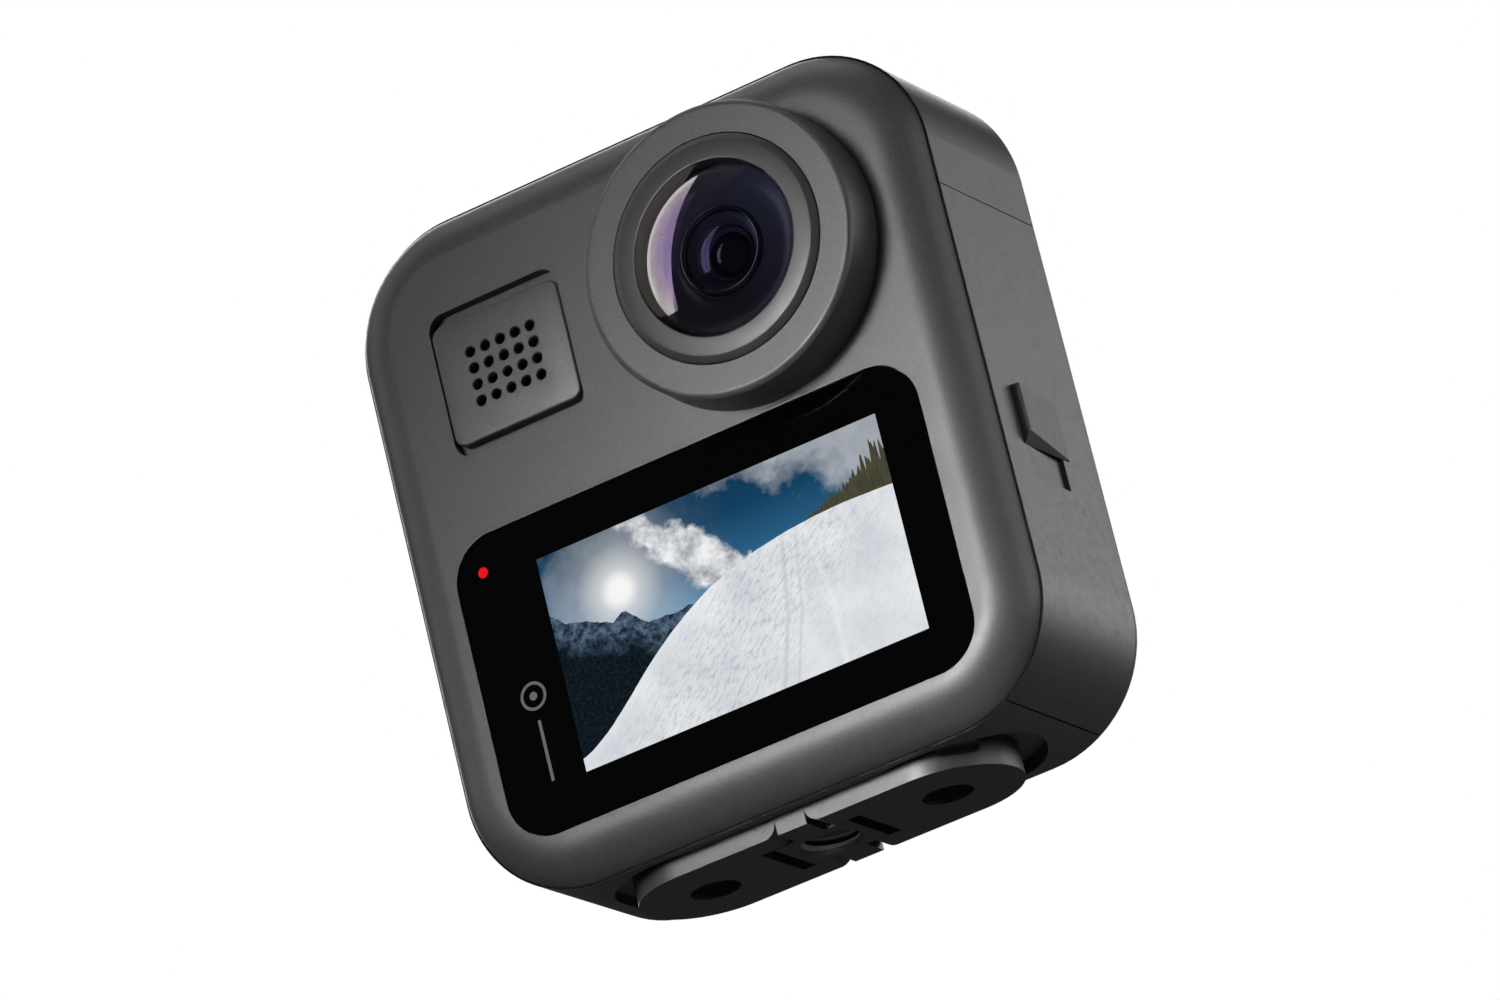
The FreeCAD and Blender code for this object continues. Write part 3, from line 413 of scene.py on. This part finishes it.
def membrane_finish():
    net = Net("membrane_mesh")
    weave = net.checker(scale=7000.0)
    return net.surface(Base_Color=weave.mix((0.004, 0.004, 0.004), (0.018, 0.018, 0.018)),
                       Roughness=0.75, Normal=weave.bump(strength=0.4, depth=0.00004))


def led_finish():
    net = Net("status_red")
    grain = net.noise(scale=3000.0)
    return net.surface(Base_Color=grain.mix((0.75, 0.01, 0.01), (0.95, 0.02, 0.02)),
                       Roughness=grain.vary(0.2, 0.35),
                       Emission_Color=(1.0, 0.02, 0.015, 1), Emission_Strength=0.9)


def flex_finish():
    net = Net("flex_film")
    wave = net.value("ShaderNodeTexWave", {"Vector": net.place, "Scale": 600.0}, "Fac")
    return net.surface(Base_Color=wave.mix((0.24, 0.10, 0.02), (0.42, 0.22, 0.05)),
                       Roughness=net.noise(scale=900.0).vary(0.25, 0.4),
                       Normal=wave.bump(strength=0.2))


def sensor_finish():
    net = Net("sensor_face")
    cells = net.checker(scale=2500.0)
    return net.surface(Base_Color=cells.mix((0.02, 0.03, 0.05), (0.05, 0.035, 0.06)),
                       Roughness=net.noise(scale=500.0).vary(0.06, 0.14), Coat_Weight=0.6)

# ------------------------------------------------------------------ lens finishes


def housing_finish():
    """Black moulding that glows with a trace of blue towards the upper right, seen from -Y:
    painted light, a sheen put in as emission.
    """
    net = Net("lens_housing")
    grain = net.noise(scale=4200.0, detail=3.0, rough=0.6)
    right, up = net.from_lens_axis()
    way = right * 0.80 + up * 0.60
    # painted light: an emitted sheen over the whole housing, bluer and brighter towards the upper
    # right
    painted_sheen = way.span(-0.004, 0.008).mix((0.0030, 0.0030, 0.0042), (0.0125, 0.0130, 0.0250))
    return net.surface(Base_Color=grain.mix((0.004, 0.004, 0.005), (0.008, 0.008, 0.009)),
                       Roughness=grain.vary(0.28, 0.38), Normal=grain.bump(strength=0.12),
                       Emission_Color=painted_sheen, Emission_Strength=1.0)


def coated_glass(name, tint, share):
    """Clear thin glass with a tinted mirror coat; share scales its Fresnel reflection."""
    net = Net(name)
    fresnel = net.value("ShaderNodeFresnel", {"IOR": 1.52})
    clear = net.value("ShaderNodeBsdfTransparent", {0: (0.86, 0.88, 0.93, 1)})
    smear = net.noise(scale=70.0)
    radius = hypot(*net.from_lens_axis())
    radius = radius + (net.noise(scale=60.0, detail=1.0) - 0.5) * 0.0008
    # the coat's tint near the axis, half-way out and at the rim
    inner, middle, outer = (tuple(a * b for a, b in zip(tint, zone)) for zone in (
        (0.58, 0.48, 0.74), (0.86, 0.70, 0.74), (1.0, 1.04, 0.86)))
    stops = [(0.0, inner), (0.32, inner), (0.56, middle), (0.78, outer), (1.0, outer)]
    net.surface(Base_Color=radius.span(0.0040, 0.0086).ramp(stops), Metallic=1.0,
                Roughness=smear.vary(0.004, 0.012))
    mirror = Signal(net, net.principled.outputs[0])
    factor = net.math("MULTIPLY", fresnel, share, clamp=True)
    glass = net.value("ShaderNodeMixShader", {0: factor, 1: clear, 2: mirror})
    net.put(net.tree.nodes["Material Output"].inputs[0], glass)
    return net.material


def inner_glass():
    net = Net("inner_element_glass")
    smear = net.noise(scale=120.0)
    return net.surface(Base_Color=smear.mix((0.001, 0.001, 0.0015), (0.003, 0.003, 0.005)),
                       Roughness=smear.vary(0.01, 0.025), Specular_IOR_Level=0.7,
                       Coat_Weight=0.5, Coat_Roughness=0.01, Coat_Tint=(0.9, 0.85, 1.0, 1))

# ------------------------------------------------------------------ touch glass
# The picture is a winter slope. It is drawn in u (rightwards) and v (upwards), both 0..1.


PICTURE_LEFT, PICTURE_BOTTOM = -0.0170, 0.01133
PICTURE_WIDTH, PICTURE_HEIGHT = 0.03813, 0.02188
PICTURE_ASPECT = 1.74
SUN_U, SUN_V = 0.205, 0.715

# v, colour of the sky
SKY = [(0.45, (0.16, 0.36, 0.54)), (0.66, (0.022, 0.115, 0.235)),
       (0.85, (0.006, 0.055, 0.125)), (1.0, (0.004, 0.040, 0.095))]
# distance from the sun, strength of its glow
SUN_GLOW = [(0.0, 1.0), (0.05, 0.97), (0.10, 0.60), (0.22, 0.22), (0.42, 0.0)]
# u, v of the diagonal cloud's middle line; u, its half-width
CLOUD_LINE = [(0.22, 1.05), (0.34, 0.86), (0.44, 0.70), (0.52, 0.62), (0.6, 0.60)]
CLOUD_WIDTH = [(0.22, 0.02), (0.30, 0.10), (0.42, 0.17), (0.50, 0.15), (0.56, 0.03)]
# u, v of the far ridge
RIDGE = [(0.0, 0.73), (0.04, 0.67), (0.10, 0.64), (0.165, 0.595), (0.205, 0.62),
         (0.26, 0.53), (0.36, 0.52), (0.42, 0.515), (1.0, 0.50)]
# u, v of the snow slope's top edge
SLOPE_EDGE = [(0.0, 0.055), (0.05, 0.09), (0.12, 0.17), (0.20, 0.29), (0.28, 0.40),
              (0.36, 0.485), (0.45, 0.565), (0.58, 0.635), (0.72, 0.672), (0.86, 0.685),
              (1.0, 0.672)]
# u, height of the conifers above the slope
TREE_HEIGHT = [(0.74, 0.0), (0.80, 0.04), (0.88, 0.10), (0.95, 0.19), (1.0, 0.22)]
# stops of v and u along a ski track, half-width, strength, colour
TRACKS = (
    ([(0.0, 0.585), (0.3, 0.640), (0.66, 0.675)], 0.010, 0.45, (0.42, 0.48, 0.56)),
    ([(0.0, 0.625), (0.3, 0.680), (0.66, 0.715)], 0.006, 0.35, (0.42, 0.48, 0.56)),
    ([(0.0, 0.765), (0.3, 0.770), (0.66, 0.735)], 0.012, 0.30, (1.0, 1.0, 1.0)),
)
TRACK_SHIFT = 0.0  # moves all tracks along u


def draw_sky(net, u, v, picture_uv):
    """Blue sky with haze on the left, a sun, a diagonal cloud and an upper right cloud."""
    sky = v.ramp(SKY)
    haze = net.noise(scale=2.2, detail=5.0, rough=0.62, vector=picture_uv).span(0.42, 0.72)
    sky = (haze * u.span(0.55, 0.0, high=0.6)).mix(sky, (0.32, 0.42, 0.52))
    from_sun = hypot((u - SUN_U) * PICTURE_ASPECT, v - SUN_V)
    sky = from_sun.ramp(SUN_GLOW).mix(sky, (1.0, 1.0, 0.98))

    # ragged band about the cloud line, kept within its stretch of u
    warp = net.noise(scale=7.0, detail=6.0, rough=0.6, vector=picture_uv)
    off_line = abs(v - u.ramp(CLOUD_LINE))
    cloud = (u.ramp(CLOUD_WIDTH) + (warp - 0.5) * 0.30 - off_line).span(0.0, 0.05)
    cloud = cloud * u.between(0.2, 0.585)
    shade = net.noise(scale=9.0, detail=6.0, rough=0.65, vector=picture_uv)
    white = shade.span(0.35, 0.62).mix((0.30, 0.33, 0.37), (0.92, 0.93, 0.94))
    sky = cloud.mix(sky, white)

    # the other cloud thickens towards the corner
    corner = (u - 0.66) * 1.5 + (v - 0.80) * 1.7
    ragged = net.noise(scale=4.0, detail=6.0, rough=0.6, vector=picture_uv)
    corner = (corner + (ragged - 0.5) * 1.1).span(0.12, 0.42, high=0.8)
    return corner.mix(sky, shade.mix((0.32, 0.35, 0.40), (0.62, 0.64, 0.67)))


def draw_hills(net, u, v, picture_uv, jag, sky):
    """Far ridge: rock with snow on it, darker forest below."""
    ridge = u.ramp(RIDGE) + jag
    rock = net.noise(scale=22.0, detail=7.0, rough=0.75, vector=picture_uv)
    rock = rock.span(0.42, 0.70).mix((0.008, 0.020, 0.040), (0.15, 0.23, 0.33))
    forest = net.noise(scale=60.0, detail=4.0, rough=0.7, vector=picture_uv)
    forest = forest.span(0.45, 0.75).mix((0.003, 0.006, 0.010), (0.012, 0.024, 0.034))
    depth = ridge - v
    return (v < ridge).mix(sky, (depth + jag * 2.0).span(0.07, 0.17).mix(rock, forest))


def draw_trees(net, u, v, edge, picture):
    """Conifers along the right skyline; squeezed v draws their noise out upwards."""
    spikes = net.noise(scale=90.0, detail=1.0, vector=net.join(u, v * 0.03))
    top = edge + u.ramp(TREE_HEIGHT) * spikes.span(0.25, 0.72, low=0.35, high=1.15)
    bark = net.noise(scale=110.0, detail=3.0, rough=0.6, vector=net.join(u, v * 0.12))
    bark = bark.mix((0.012, 0.018, 0.012), (0.12, 0.11, 0.06))
    return ((v < top) * (u > 0.745)).mix(picture, bark)


def draw_snow(net, u, v, picture_uv, edge):
    """Snow with a churned diagonal strip, ski tracks and a bright top edge."""
    soft = net.noise(scale=3.0, detail=4.0, vector=picture_uv)
    snow = soft.span(0.35, 0.65).mix((0.66, 0.70, 0.75), (0.86, 0.88, 0.90))
    grain_uv = net.join((u - v * 0.55) * PICTURE_ASPECT, v * 0.55)
    churned = abs(u - v * 0.65 - 0.32).span(0.30, 0.10, low=0.25, high=1.0)
    crumbs = net.noise(scale=48.0, detail=6.0, rough=0.75, vector=grain_uv).span(0.48, 0.64)
    snow = (crumbs * churned * 0.62).mix(snow, (0.30, 0.34, 0.40))
    glints = net.noise(scale=100.0, detail=4.0, rough=0.7, vector=grain_uv).span(0.50, 0.70)
    snow = (glints * 0.30).mix(snow, (0.95, 0.95, 0.95))
    for stops, half_width, strength, color in TRACKS:
        off_track = abs(u - v.ramp(stops) - TRACK_SHIFT)
        snow = (off_track.span(half_width, 0.0) * strength).mix(snow, color)
    below_edge = (edge - v).span(0.0, 0.06)
    return ((1.0 - below_edge) * 0.25).mix(snow, (0.95, 0.96, 0.97))


def draw_picture(net, u, v):
    picture_uv = net.join(u * PICTURE_ASPECT, v)
    jag = (net.noise(scale=14.0, detail=5.0, rough=0.6, vector=picture_uv) - 0.5) * 0.05
    edge = u.ramp(SLOPE_EDGE, "B_SPLINE")
    picture = draw_sky(net, u, v, picture_uv)
    picture = draw_hills(net, u, v, picture_uv, jag, picture)
    picture = draw_trees(net, u, v, edge, picture)
    snow = draw_snow(net, u, v, picture_uv, edge)
    return (v < edge + jag * 0.12).mix(picture, snow)


def screen_finish():
    """Black cover glass with the lit picture, a grey pictogram and a red status dot; the
    pictogram's glow is painted light.
    """
    net = Net("screen_glass")
    x, _, z = net.split()
    u = (x - PICTURE_LEFT_NODE) / PICTURE_WIDTH if False else (x + -PICTURE_LEFT) / PICTURE_WIDTH
    v = (z - PICTURE_BOTTOM) / PICTURE_HEIGHT
    lit = u.between(0.0, 1.0) * v.between(0.0, 1.0)
    picture = draw_picture(net, u, v)

    # pictogram: a ring with a dot in it, and one thin line below
    from_ring = hypot(x + 0.02065, z - 0.0205)
    mark = from_ring.between(0.00112, 0.00142).maximum(from_ring < 0.00042)
    mark = mark.maximum(x.between(-0.02082, -0.02048) * z.between(0.0118, 0.0180))
    status = hypot(x + 0.02287, z - 0.03415) < 0.00053

    grain = net.noise(scale=2500.0)
    base = grain.vary().mix((0.0062, 0.0062, 0.0065), (0.0090, 0.0090, 0.0093))
    base = (mark * 0.85).mix(base, (0.16, 0.16, 0.165))
    base = status.mix(base, (0.5, 0.0, 0.0))
    # the printed pictogram's glow is painted light, standing in for the key light that the glass
    # does not receive
    glow = lit.mix(mark.mix((0.0, 0.0, 0.0), (0.13, 0.13, 0.135)), picture)
    glow = status.mix(glow, (0.85, 0.008, 0.012))

    # only the outer face, towards -Y, is lit
    normal = net.value("ShaderNodeNewGeometry", output="Normal")
    outer_face = net.split(normal)[1] < -0.9
    power = lit.maximum(mark).maximum(status) * (outer_face * 0.93)
    smear = net.noise(scale=160.0, detail=4.0, rough=0.6)
    return net.surface(Base_Color=lit.mix(base, (0.002, 0.002, 0.002)),
                       Roughness=smear.vary(0.05, 0.09),
                       Emission_Color=glow, Emission_Strength=power, Specular_IOR_Level=0.22,
                       Normal=net.noise(scale=60.0).bump(strength=0.01, depth=0.00002))

# ------------------------------------------------------------------ the materials


mount_finish = grained(
    "mount_paint", dark=(0.018, 0.018, 0.0185), light=(0.034, 0.034, 0.035),
    rough=0.42, spread=0.05, grain=3400.0, bump=0.30, spec=0.6, details=mount_details)
grille_finish = grained(
    "grille_matt", dark=(0.022, 0.022, 0.0225), light=(0.042, 0.042, 0.043),
    rough=0.43, spread=0.05, grain=2800.0, bump=0.38, spec=0.8)
# near-black finish for the seam bands: painted shade in the seam gaps
gap_black = grained(
    "gap_black", dark=(0.002, 0.002, 0.002), light=(0.004, 0.004, 0.004),
    rough=0.8, spread=0.05, grain=3000.0, bump=0.1, spec=0.1)
ring_gloss = grained(
    "ring_gloss", dark=(0.004, 0.004, 0.005), light=(0.008, 0.008, 0.009),
    rough=0.10, spread=0.02, grain=3000.0, bump=0.05, coat=1.0)

# finish for each material slot named in the CAD record
SLOTS = {
    "casing": grained(
        "casing_soft_touch", dark=(0.028, 0.028, 0.0285), light=(0.052, 0.052, 0.053),
        rough=0.47, spread=0.05, grain=3600.0, bump=0.34, spec=0.6),
    "mount_metal": mount_finish,
    "bezel": grained(
        "bezel_satin", dark=(0.023, 0.023, 0.024), light=(0.033, 0.033, 0.034),
        rough=0.42, spread=0.04, grain=6000.0, bump=0.10, spec=0.42),
    "lens_glass": coated_glass("dome_coated_glass", tint=(1.0, 0.90, 0.97), share=0.30),
    "screen_glass": screen_finish(),
    "black_plastic": grained(
        "black_moulding", dark=(0.006, 0.006, 0.007), light=(0.013, 0.013, 0.014),
        rough=0.42, spread=0.05, grain=4000.0, bump=0.18),
    "seal_rubber": grained(
        "seal_rubber", dark=(0.012, 0.012, 0.012), light=(0.022, 0.022, 0.022),
        rough=0.68, spread=0.06, grain=2600.0, bump=0.3),
    "circuit_board": board_finish(),
    "steel": metal("brushed_steel", (0.52, 0.52, 0.53), rough=0.30),
    "aluminium": metal("rolled_aluminium", (0.72, 0.72, 0.74), rough=0.34, stretch=(60, 1, 1)),
    "magnet": metal("nickel_plate", (0.60, 0.59, 0.56), rough=0.22, stretch=(1, 1, 1),
                    scale=500),
    "battery_wrap": battery_finish(),
    "contact_brass": metal("gold_contact", (0.83, 0.60, 0.22), rough=0.26, stretch=(1, 40, 1)),
    "ceramic_antenna": ceramic_finish(),
    "membrane_fabric": membrane_finish(),
    "led": led_finish(),
    "flex": flex_finish(),
    "button_plastic": grained(
        "button_satin", dark=(0.020, 0.020, 0.0205), light=(0.034, 0.034, 0.035),
        rough=0.36, spread=0.04, grain=4500.0, bump=0.18, spec=0.8),
    "sensor_glass": sensor_finish(),
}

# ------------------------------------------------------------------ lens units
# Profiles are (radius, height) pairs; height is measured outwards from y = 0.

BEZEL = [
    (8.62, 12.35), (11.10, 12.35), (11.15, 12.40), (11.15, 17.68), (11.135, 17.735),
    (11.095, 17.78), (10.58, 18.06), (10.50, 18.10), (10.41, 18.125), (8.80, 18.20),
    (8.72, 18.20), (8.66, 18.18), (8.62, 18.13), (8.60, 18.05), (8.60, 17.05)]
DOME = cap_profile(8.42, 22.5, 20.10, 48) + cap_profile(8.38, 21.5, 19.10, 32)[::-1]
# outer shelf, smooth dish, then the raised nose that carries the inner elements
BARREL = [
    (1.7, 3.7), (10.3, 3.7), (10.3, 11.68), (8.33, 11.72), (8.33, 16.62), (8.29, 16.68),
    (7.95, 16.68), (7.88, 16.64), (7.72, 16.30),
    (7.2, 15.95), (6.4, 15.72), (5.6, 15.70), (4.95, 15.86), (4.66, 16.02), (4.58, 16.14),
    (4.56, 16.30), (4.44, 16.34),
    (3.80, 16.34), (3.78, 16.0), (3.72, 15.95), (3.42, 15.88), (3.38, 15.40), (3.30, 15.35),
    (2.92, 15.28), (2.86, 14.90), (2.80, 14.86), (2.30, 14.80), (2.26, 14.2), (1.7, 14.2)]
# half-round lip on a short foot
LIP_RADIUS, LIP_HEIGHT, LIP_ROUND, LIP_STEPS = 4.16, 16.62, 0.30, 14
RETAINING_RING = [(3.82, 16.30), (4.42, 16.30), (4.46, 16.55)] + [
    (LIP_RADIUS + LIP_ROUND * math.cos(math.pi * i / LIP_STEPS),
     LIP_HEIGHT + LIP_ROUND * math.sin(math.pi * i / LIP_STEPS))
    for i in range(LIP_STEPS + 1)] + [(3.84, 16.55)]
FIRST_ELEMENT = cap_profile(3.78, 7.1, 17.25, 28) + cap_profile(3.70, 6.5, 16.85, 20)[::-1]
SECOND_RING = [(2.62, 15.0), (2.90, 15.0), (2.92, 15.34), (2.86, 15.42), (2.70, 15.42),
               (2.62, 15.34)]
SECOND_ELEMENT = cap_profile(2.25, 3.1, 15.85, 24) + [(2.25, 13.8), (0.0, 13.8)]

element_glass = coated_glass("inner_coated_glass", tint=(0.86, 0.74, 0.86), share=0.16)
# name, profile, segments, finish, sharp angle, CAD node it replaces
LENS_PARTS = (
    ("bezel_ring", BEZEL, 192, SLOTS["bezel"], 24, "lens_bezel"),
    ("dome_glass", DOME, 160, SLOTS["lens_glass"], 30, "lens_dome"),
    ("barrel_housing", BARREL, 144, housing_finish(), 28, "lens_barrel"),
    ("retaining_ring", RETAINING_RING, 120, ring_gloss, 28, None),
    ("first_element", FIRST_ELEMENT, 112, element_glass, 34, "inner_lens"),
    ("second_ring", SECOND_RING, 96, ring_gloss, 28, None),
    ("second_element", SECOND_ELEMENT, 96, inner_glass(), 34, None),
)

lens_insides = []  # everything but the bezels, for the light linking
for side, sign in (("front", -1), ("rear", 1)):
    for part, profile, segments, finish, sharp_angle, node in LENS_PARTS:
        obj = add_part(f"{side}_{part}", revolve(profile, sign, segments), finish, sharp_angle,
                       node and f"{side}_{node}")
        if part != "bezel_ring":
            lens_insides.append(obj)
lens_insides.sort(key=lambda obj: obj.name)

# ------------------------------------------------------------------ glass, grille, painted seam shade


def grille_holes():
    mesh = bmesh.new()
    turns = [2 * math.pi * i / HOLE_SEGMENTS for i in range(HOLE_SEGMENTS)]
    for column in HOLE_COLUMNS:
        for row in HOLE_ROWS:
            x, z = GRILLE_X + column * HOLE_PITCH, GRILLE_Z + row * HOLE_PITCH
            loft(mesh, [[(x + radius * math.cos(turn), y, z + radius * math.sin(turn))
                         for turn in turns] for y, radius in HOLE_PROFILE])
    weld_and_orient(mesh)
    return mesh


def seam_shade_band(seam_y):
    """Black band just under the casing surface: painted shade that darkens the seam gap."""
    front, back = seam_y - SEAM_HALF_WIDTH, seam_y + SEAM_HALF_WIDTH
    # round the section and back to its start, where the weld closes it
    section = ((SHADE_BAND_OUTER, front), (SHADE_BAND_OUTER, back), (SHADE_BAND_INNER, back),
               (SHADE_BAND_INNER, front), (SHADE_BAND_OUTER, front))
    mesh = bmesh.new()
    loft(mesh, [[(x, y, z) for x, z in rounded_outline(
        CASING_WIDTH - 2 * inset, CASING_HEIGHT - 2 * inset, CASING_RADIUS - inset,
        0.0, CASING_Z, 28)] for inset, y in section], cap=False)
    weld_and_orient(mesh)
    return mesh


cover = add_part("cover_glass", plate(**COVER), SLOTS["screen_glass"], 50, "touch_glass")
add_part("grille_plate", cut(plate(**GRILLE), grille_holes()), grille_finish, 30,
         "speaker_grille")
for name, seam_y in SEAMS:
    add_part(name, seam_shade_band(seam_y), gap_black, 30)

# ------------------------------------------------------------------ finishes on the CAD nodes
part_slot = {part["node"]: part["material_slot"] for part in frame["record"]["subparts"]}
for name, obj in frame["nodes"].items():
    finish = mount_finish if name == "finger_pins" else SLOTS[part_slot[name]]
    obj.data.materials.clear()
    obj.data.materials.append(finish)
    if not obj.data.has_custom_normals:
        obj.data.set_sharp_from_angle(angle=math.radians(30))

# ------------------------------------------------------------------ stage and lights


def make_floor():
    """Floor that looks pale to the camera without lighting the object's underside."""
    mesh = bmesh.new()
    bmesh.ops.create_grid(mesh, x_segments=1, y_segments=1, size=9.0)
    obj = new_object("floor", mesh)
    obj.location = (0, 0, -1.3)
    net = Net("floor_pale")
    seen = net.value("ShaderNodeLightPath", output="Is Camera Ray")
    obj.data.materials.append(net.surface(
        Base_Color=(0.80, 0.80, 0.80, 1), Roughness=0.9,
        Emission_Color=(1, 1, 1, 1), Emission_Strength=seen * 0.80))
    return obj


def area_light(name, size, watts, color, spread=180):
    light = bpy.data.lights.new(name, "AREA")
    light.shape = "RECTANGLE"
    light.size, light.size_y = size
    light.energy = watts
    light.color = color
    light.spread = math.radians(spread)
    obj = bpy.data.objects.new(name, light)
    bpy.context.scene.collection.objects.link(obj)
    obj.visible_camera = False
    return obj


def aimed(name, place, size, watts, color=(1, 1, 1), target=(0.0, 0.0, 0.036), spread=180):
    obj = area_light(name, size, watts, color, spread)
    obj.location = place
    obj.rotation_euler = (Vector(target) - Vector(place)).to_track_quat("-Z", "Y").to_euler()
    return obj


def softbox(name, centre, right, up, size, radiance, color):
    """Panel given by its two edge directions; it shines towards up x right."""
    obj = area_light(name, size, radiance * math.pi * size[0] * size[1], color)
    y = Vector(up).normalized()
    x = Vector(right)
    x = (x - x.dot(y) * y).normalized()
    matrix = Matrix((x, y, x.cross(y))).transposed().to_4x4()
    matrix.translation = Vector(centre)
    obj.matrix_world = matrix
    return obj


def linked(light, objects, exclude=False):
    """Limits the light to these objects or, with exclude, to everything else."""
    group = bpy.data.collections.new(light.name + "_links")
    for obj in objects:
        group.objects.link(obj)
    light.light_linking.receiver_collection = group
    if exclude:
        for entry in group.collection_objects:
            entry.light_linking.link_state = "EXCLUDE"
    return light


shiny = lens_insides + [cover]
make_floor()
linked(softbox("lens_softbox", centre=(-0.600, -0.1110, 0.470),
                   right=(0.762, -0.633, -0.144), up=(0.351, 0.2136, 0.911),
                   size=(0.68, 0.75), radiance=2.2, color=(1.0, 0.985, 0.97)), lens_insides)
linked(softbox("softbox_left", centre=(-0.468, -0.0925, 0.356),
                   right=(0.716, -0.694, -0.075), up=(0.374, 0.292, 0.880),
                   size=(0.40, 0.636), radiance=0.9, color=(1.0, 0.99, 0.98)),
           shiny, exclude=True)
linked(aimed("key_front", place=(-0.05, -0.40, 0.045), target=(0.068, -0.0127, -0.026),
                 size=(0.14, 0.14), watts=0.19, spread=30), shiny, exclude=True)
aimed("softbox_back_right", place=(0.50, 0.58, 0.165), size=(0.56, 0.34), watts=2.1,
          color=(0.98, 0.99, 1.0))
aimed("fill_right", place=(0.66, 0.03, 0.10), size=(0.40, 0.40), watts=1.1)
aimed("fill_low", place=(0.10, -0.12, -0.70), size=(0.40, 0.40), watts=0.26)
aimed("fill_top", place=(-0.10, 0.05, 0.75), size=(0.50, 0.50), watts=1.0)
aimed("fill_back_left", place=(-0.34, 0.60, 0.42), size=(0.55, 0.45), watts=4.5)


def make_world():
    """White to the camera, dim to everything else."""
    world = bpy.data.worlds.new("studio")
    bpy.context.scene.world = world
    world.use_nodes = True
    nodes, links = world.node_tree.nodes, world.node_tree.links
    nodes.clear()
    output = nodes.new("ShaderNodeOutputWorld")
    mixer = nodes.new("ShaderNodeMixShader")
    path = nodes.new("ShaderNodeLightPath")
    links.new(path.outputs["Is Camera Ray"], mixer.inputs[0])
    # mixer input, colour, strength
    for index, color, strength in ((2, (1, 1, 1, 1), 1.0), (1, (0.95, 0.97, 1.0, 1), 0.06)):
        background = nodes.new("ShaderNodeBackground")
        background.inputs[0].default_value = color
        background.inputs[1].default_value = strength
        links.new(background.outputs[0], mixer.inputs[index])
    links.new(mixer.outputs[0], output.inputs[0])


def make_camera():
    """Long lens in front of the camera body and below it, looking up."""
    data = bpy.data.cameras.new("camera")
    obj = bpy.data.objects.new("camera", data)
    bpy.context.scene.collection.objects.link(obj)
    data.sensor_width, data.lens = 36.0, 213.5746
    data.clip_start, data.clip_end = 0.01, 50
    matrix = Matrix(((0.8385939, 0.3611709, 0.4078183),
                     (0.4960531, -0.1968695, -0.8456794),
                     (-0.2251478, 0.9114812, -0.3442535))).to_4x4()
    matrix.translation = Vector((0.347276, -0.719461, -0.257559))
    obj.matrix_world = matrix
    bpy.context.scene.camera = obj


make_world()
bpy.context.scene.view_settings.view_transform = "Standard"
bpy.context.scene.view_settings.look = "None"
make_camera()
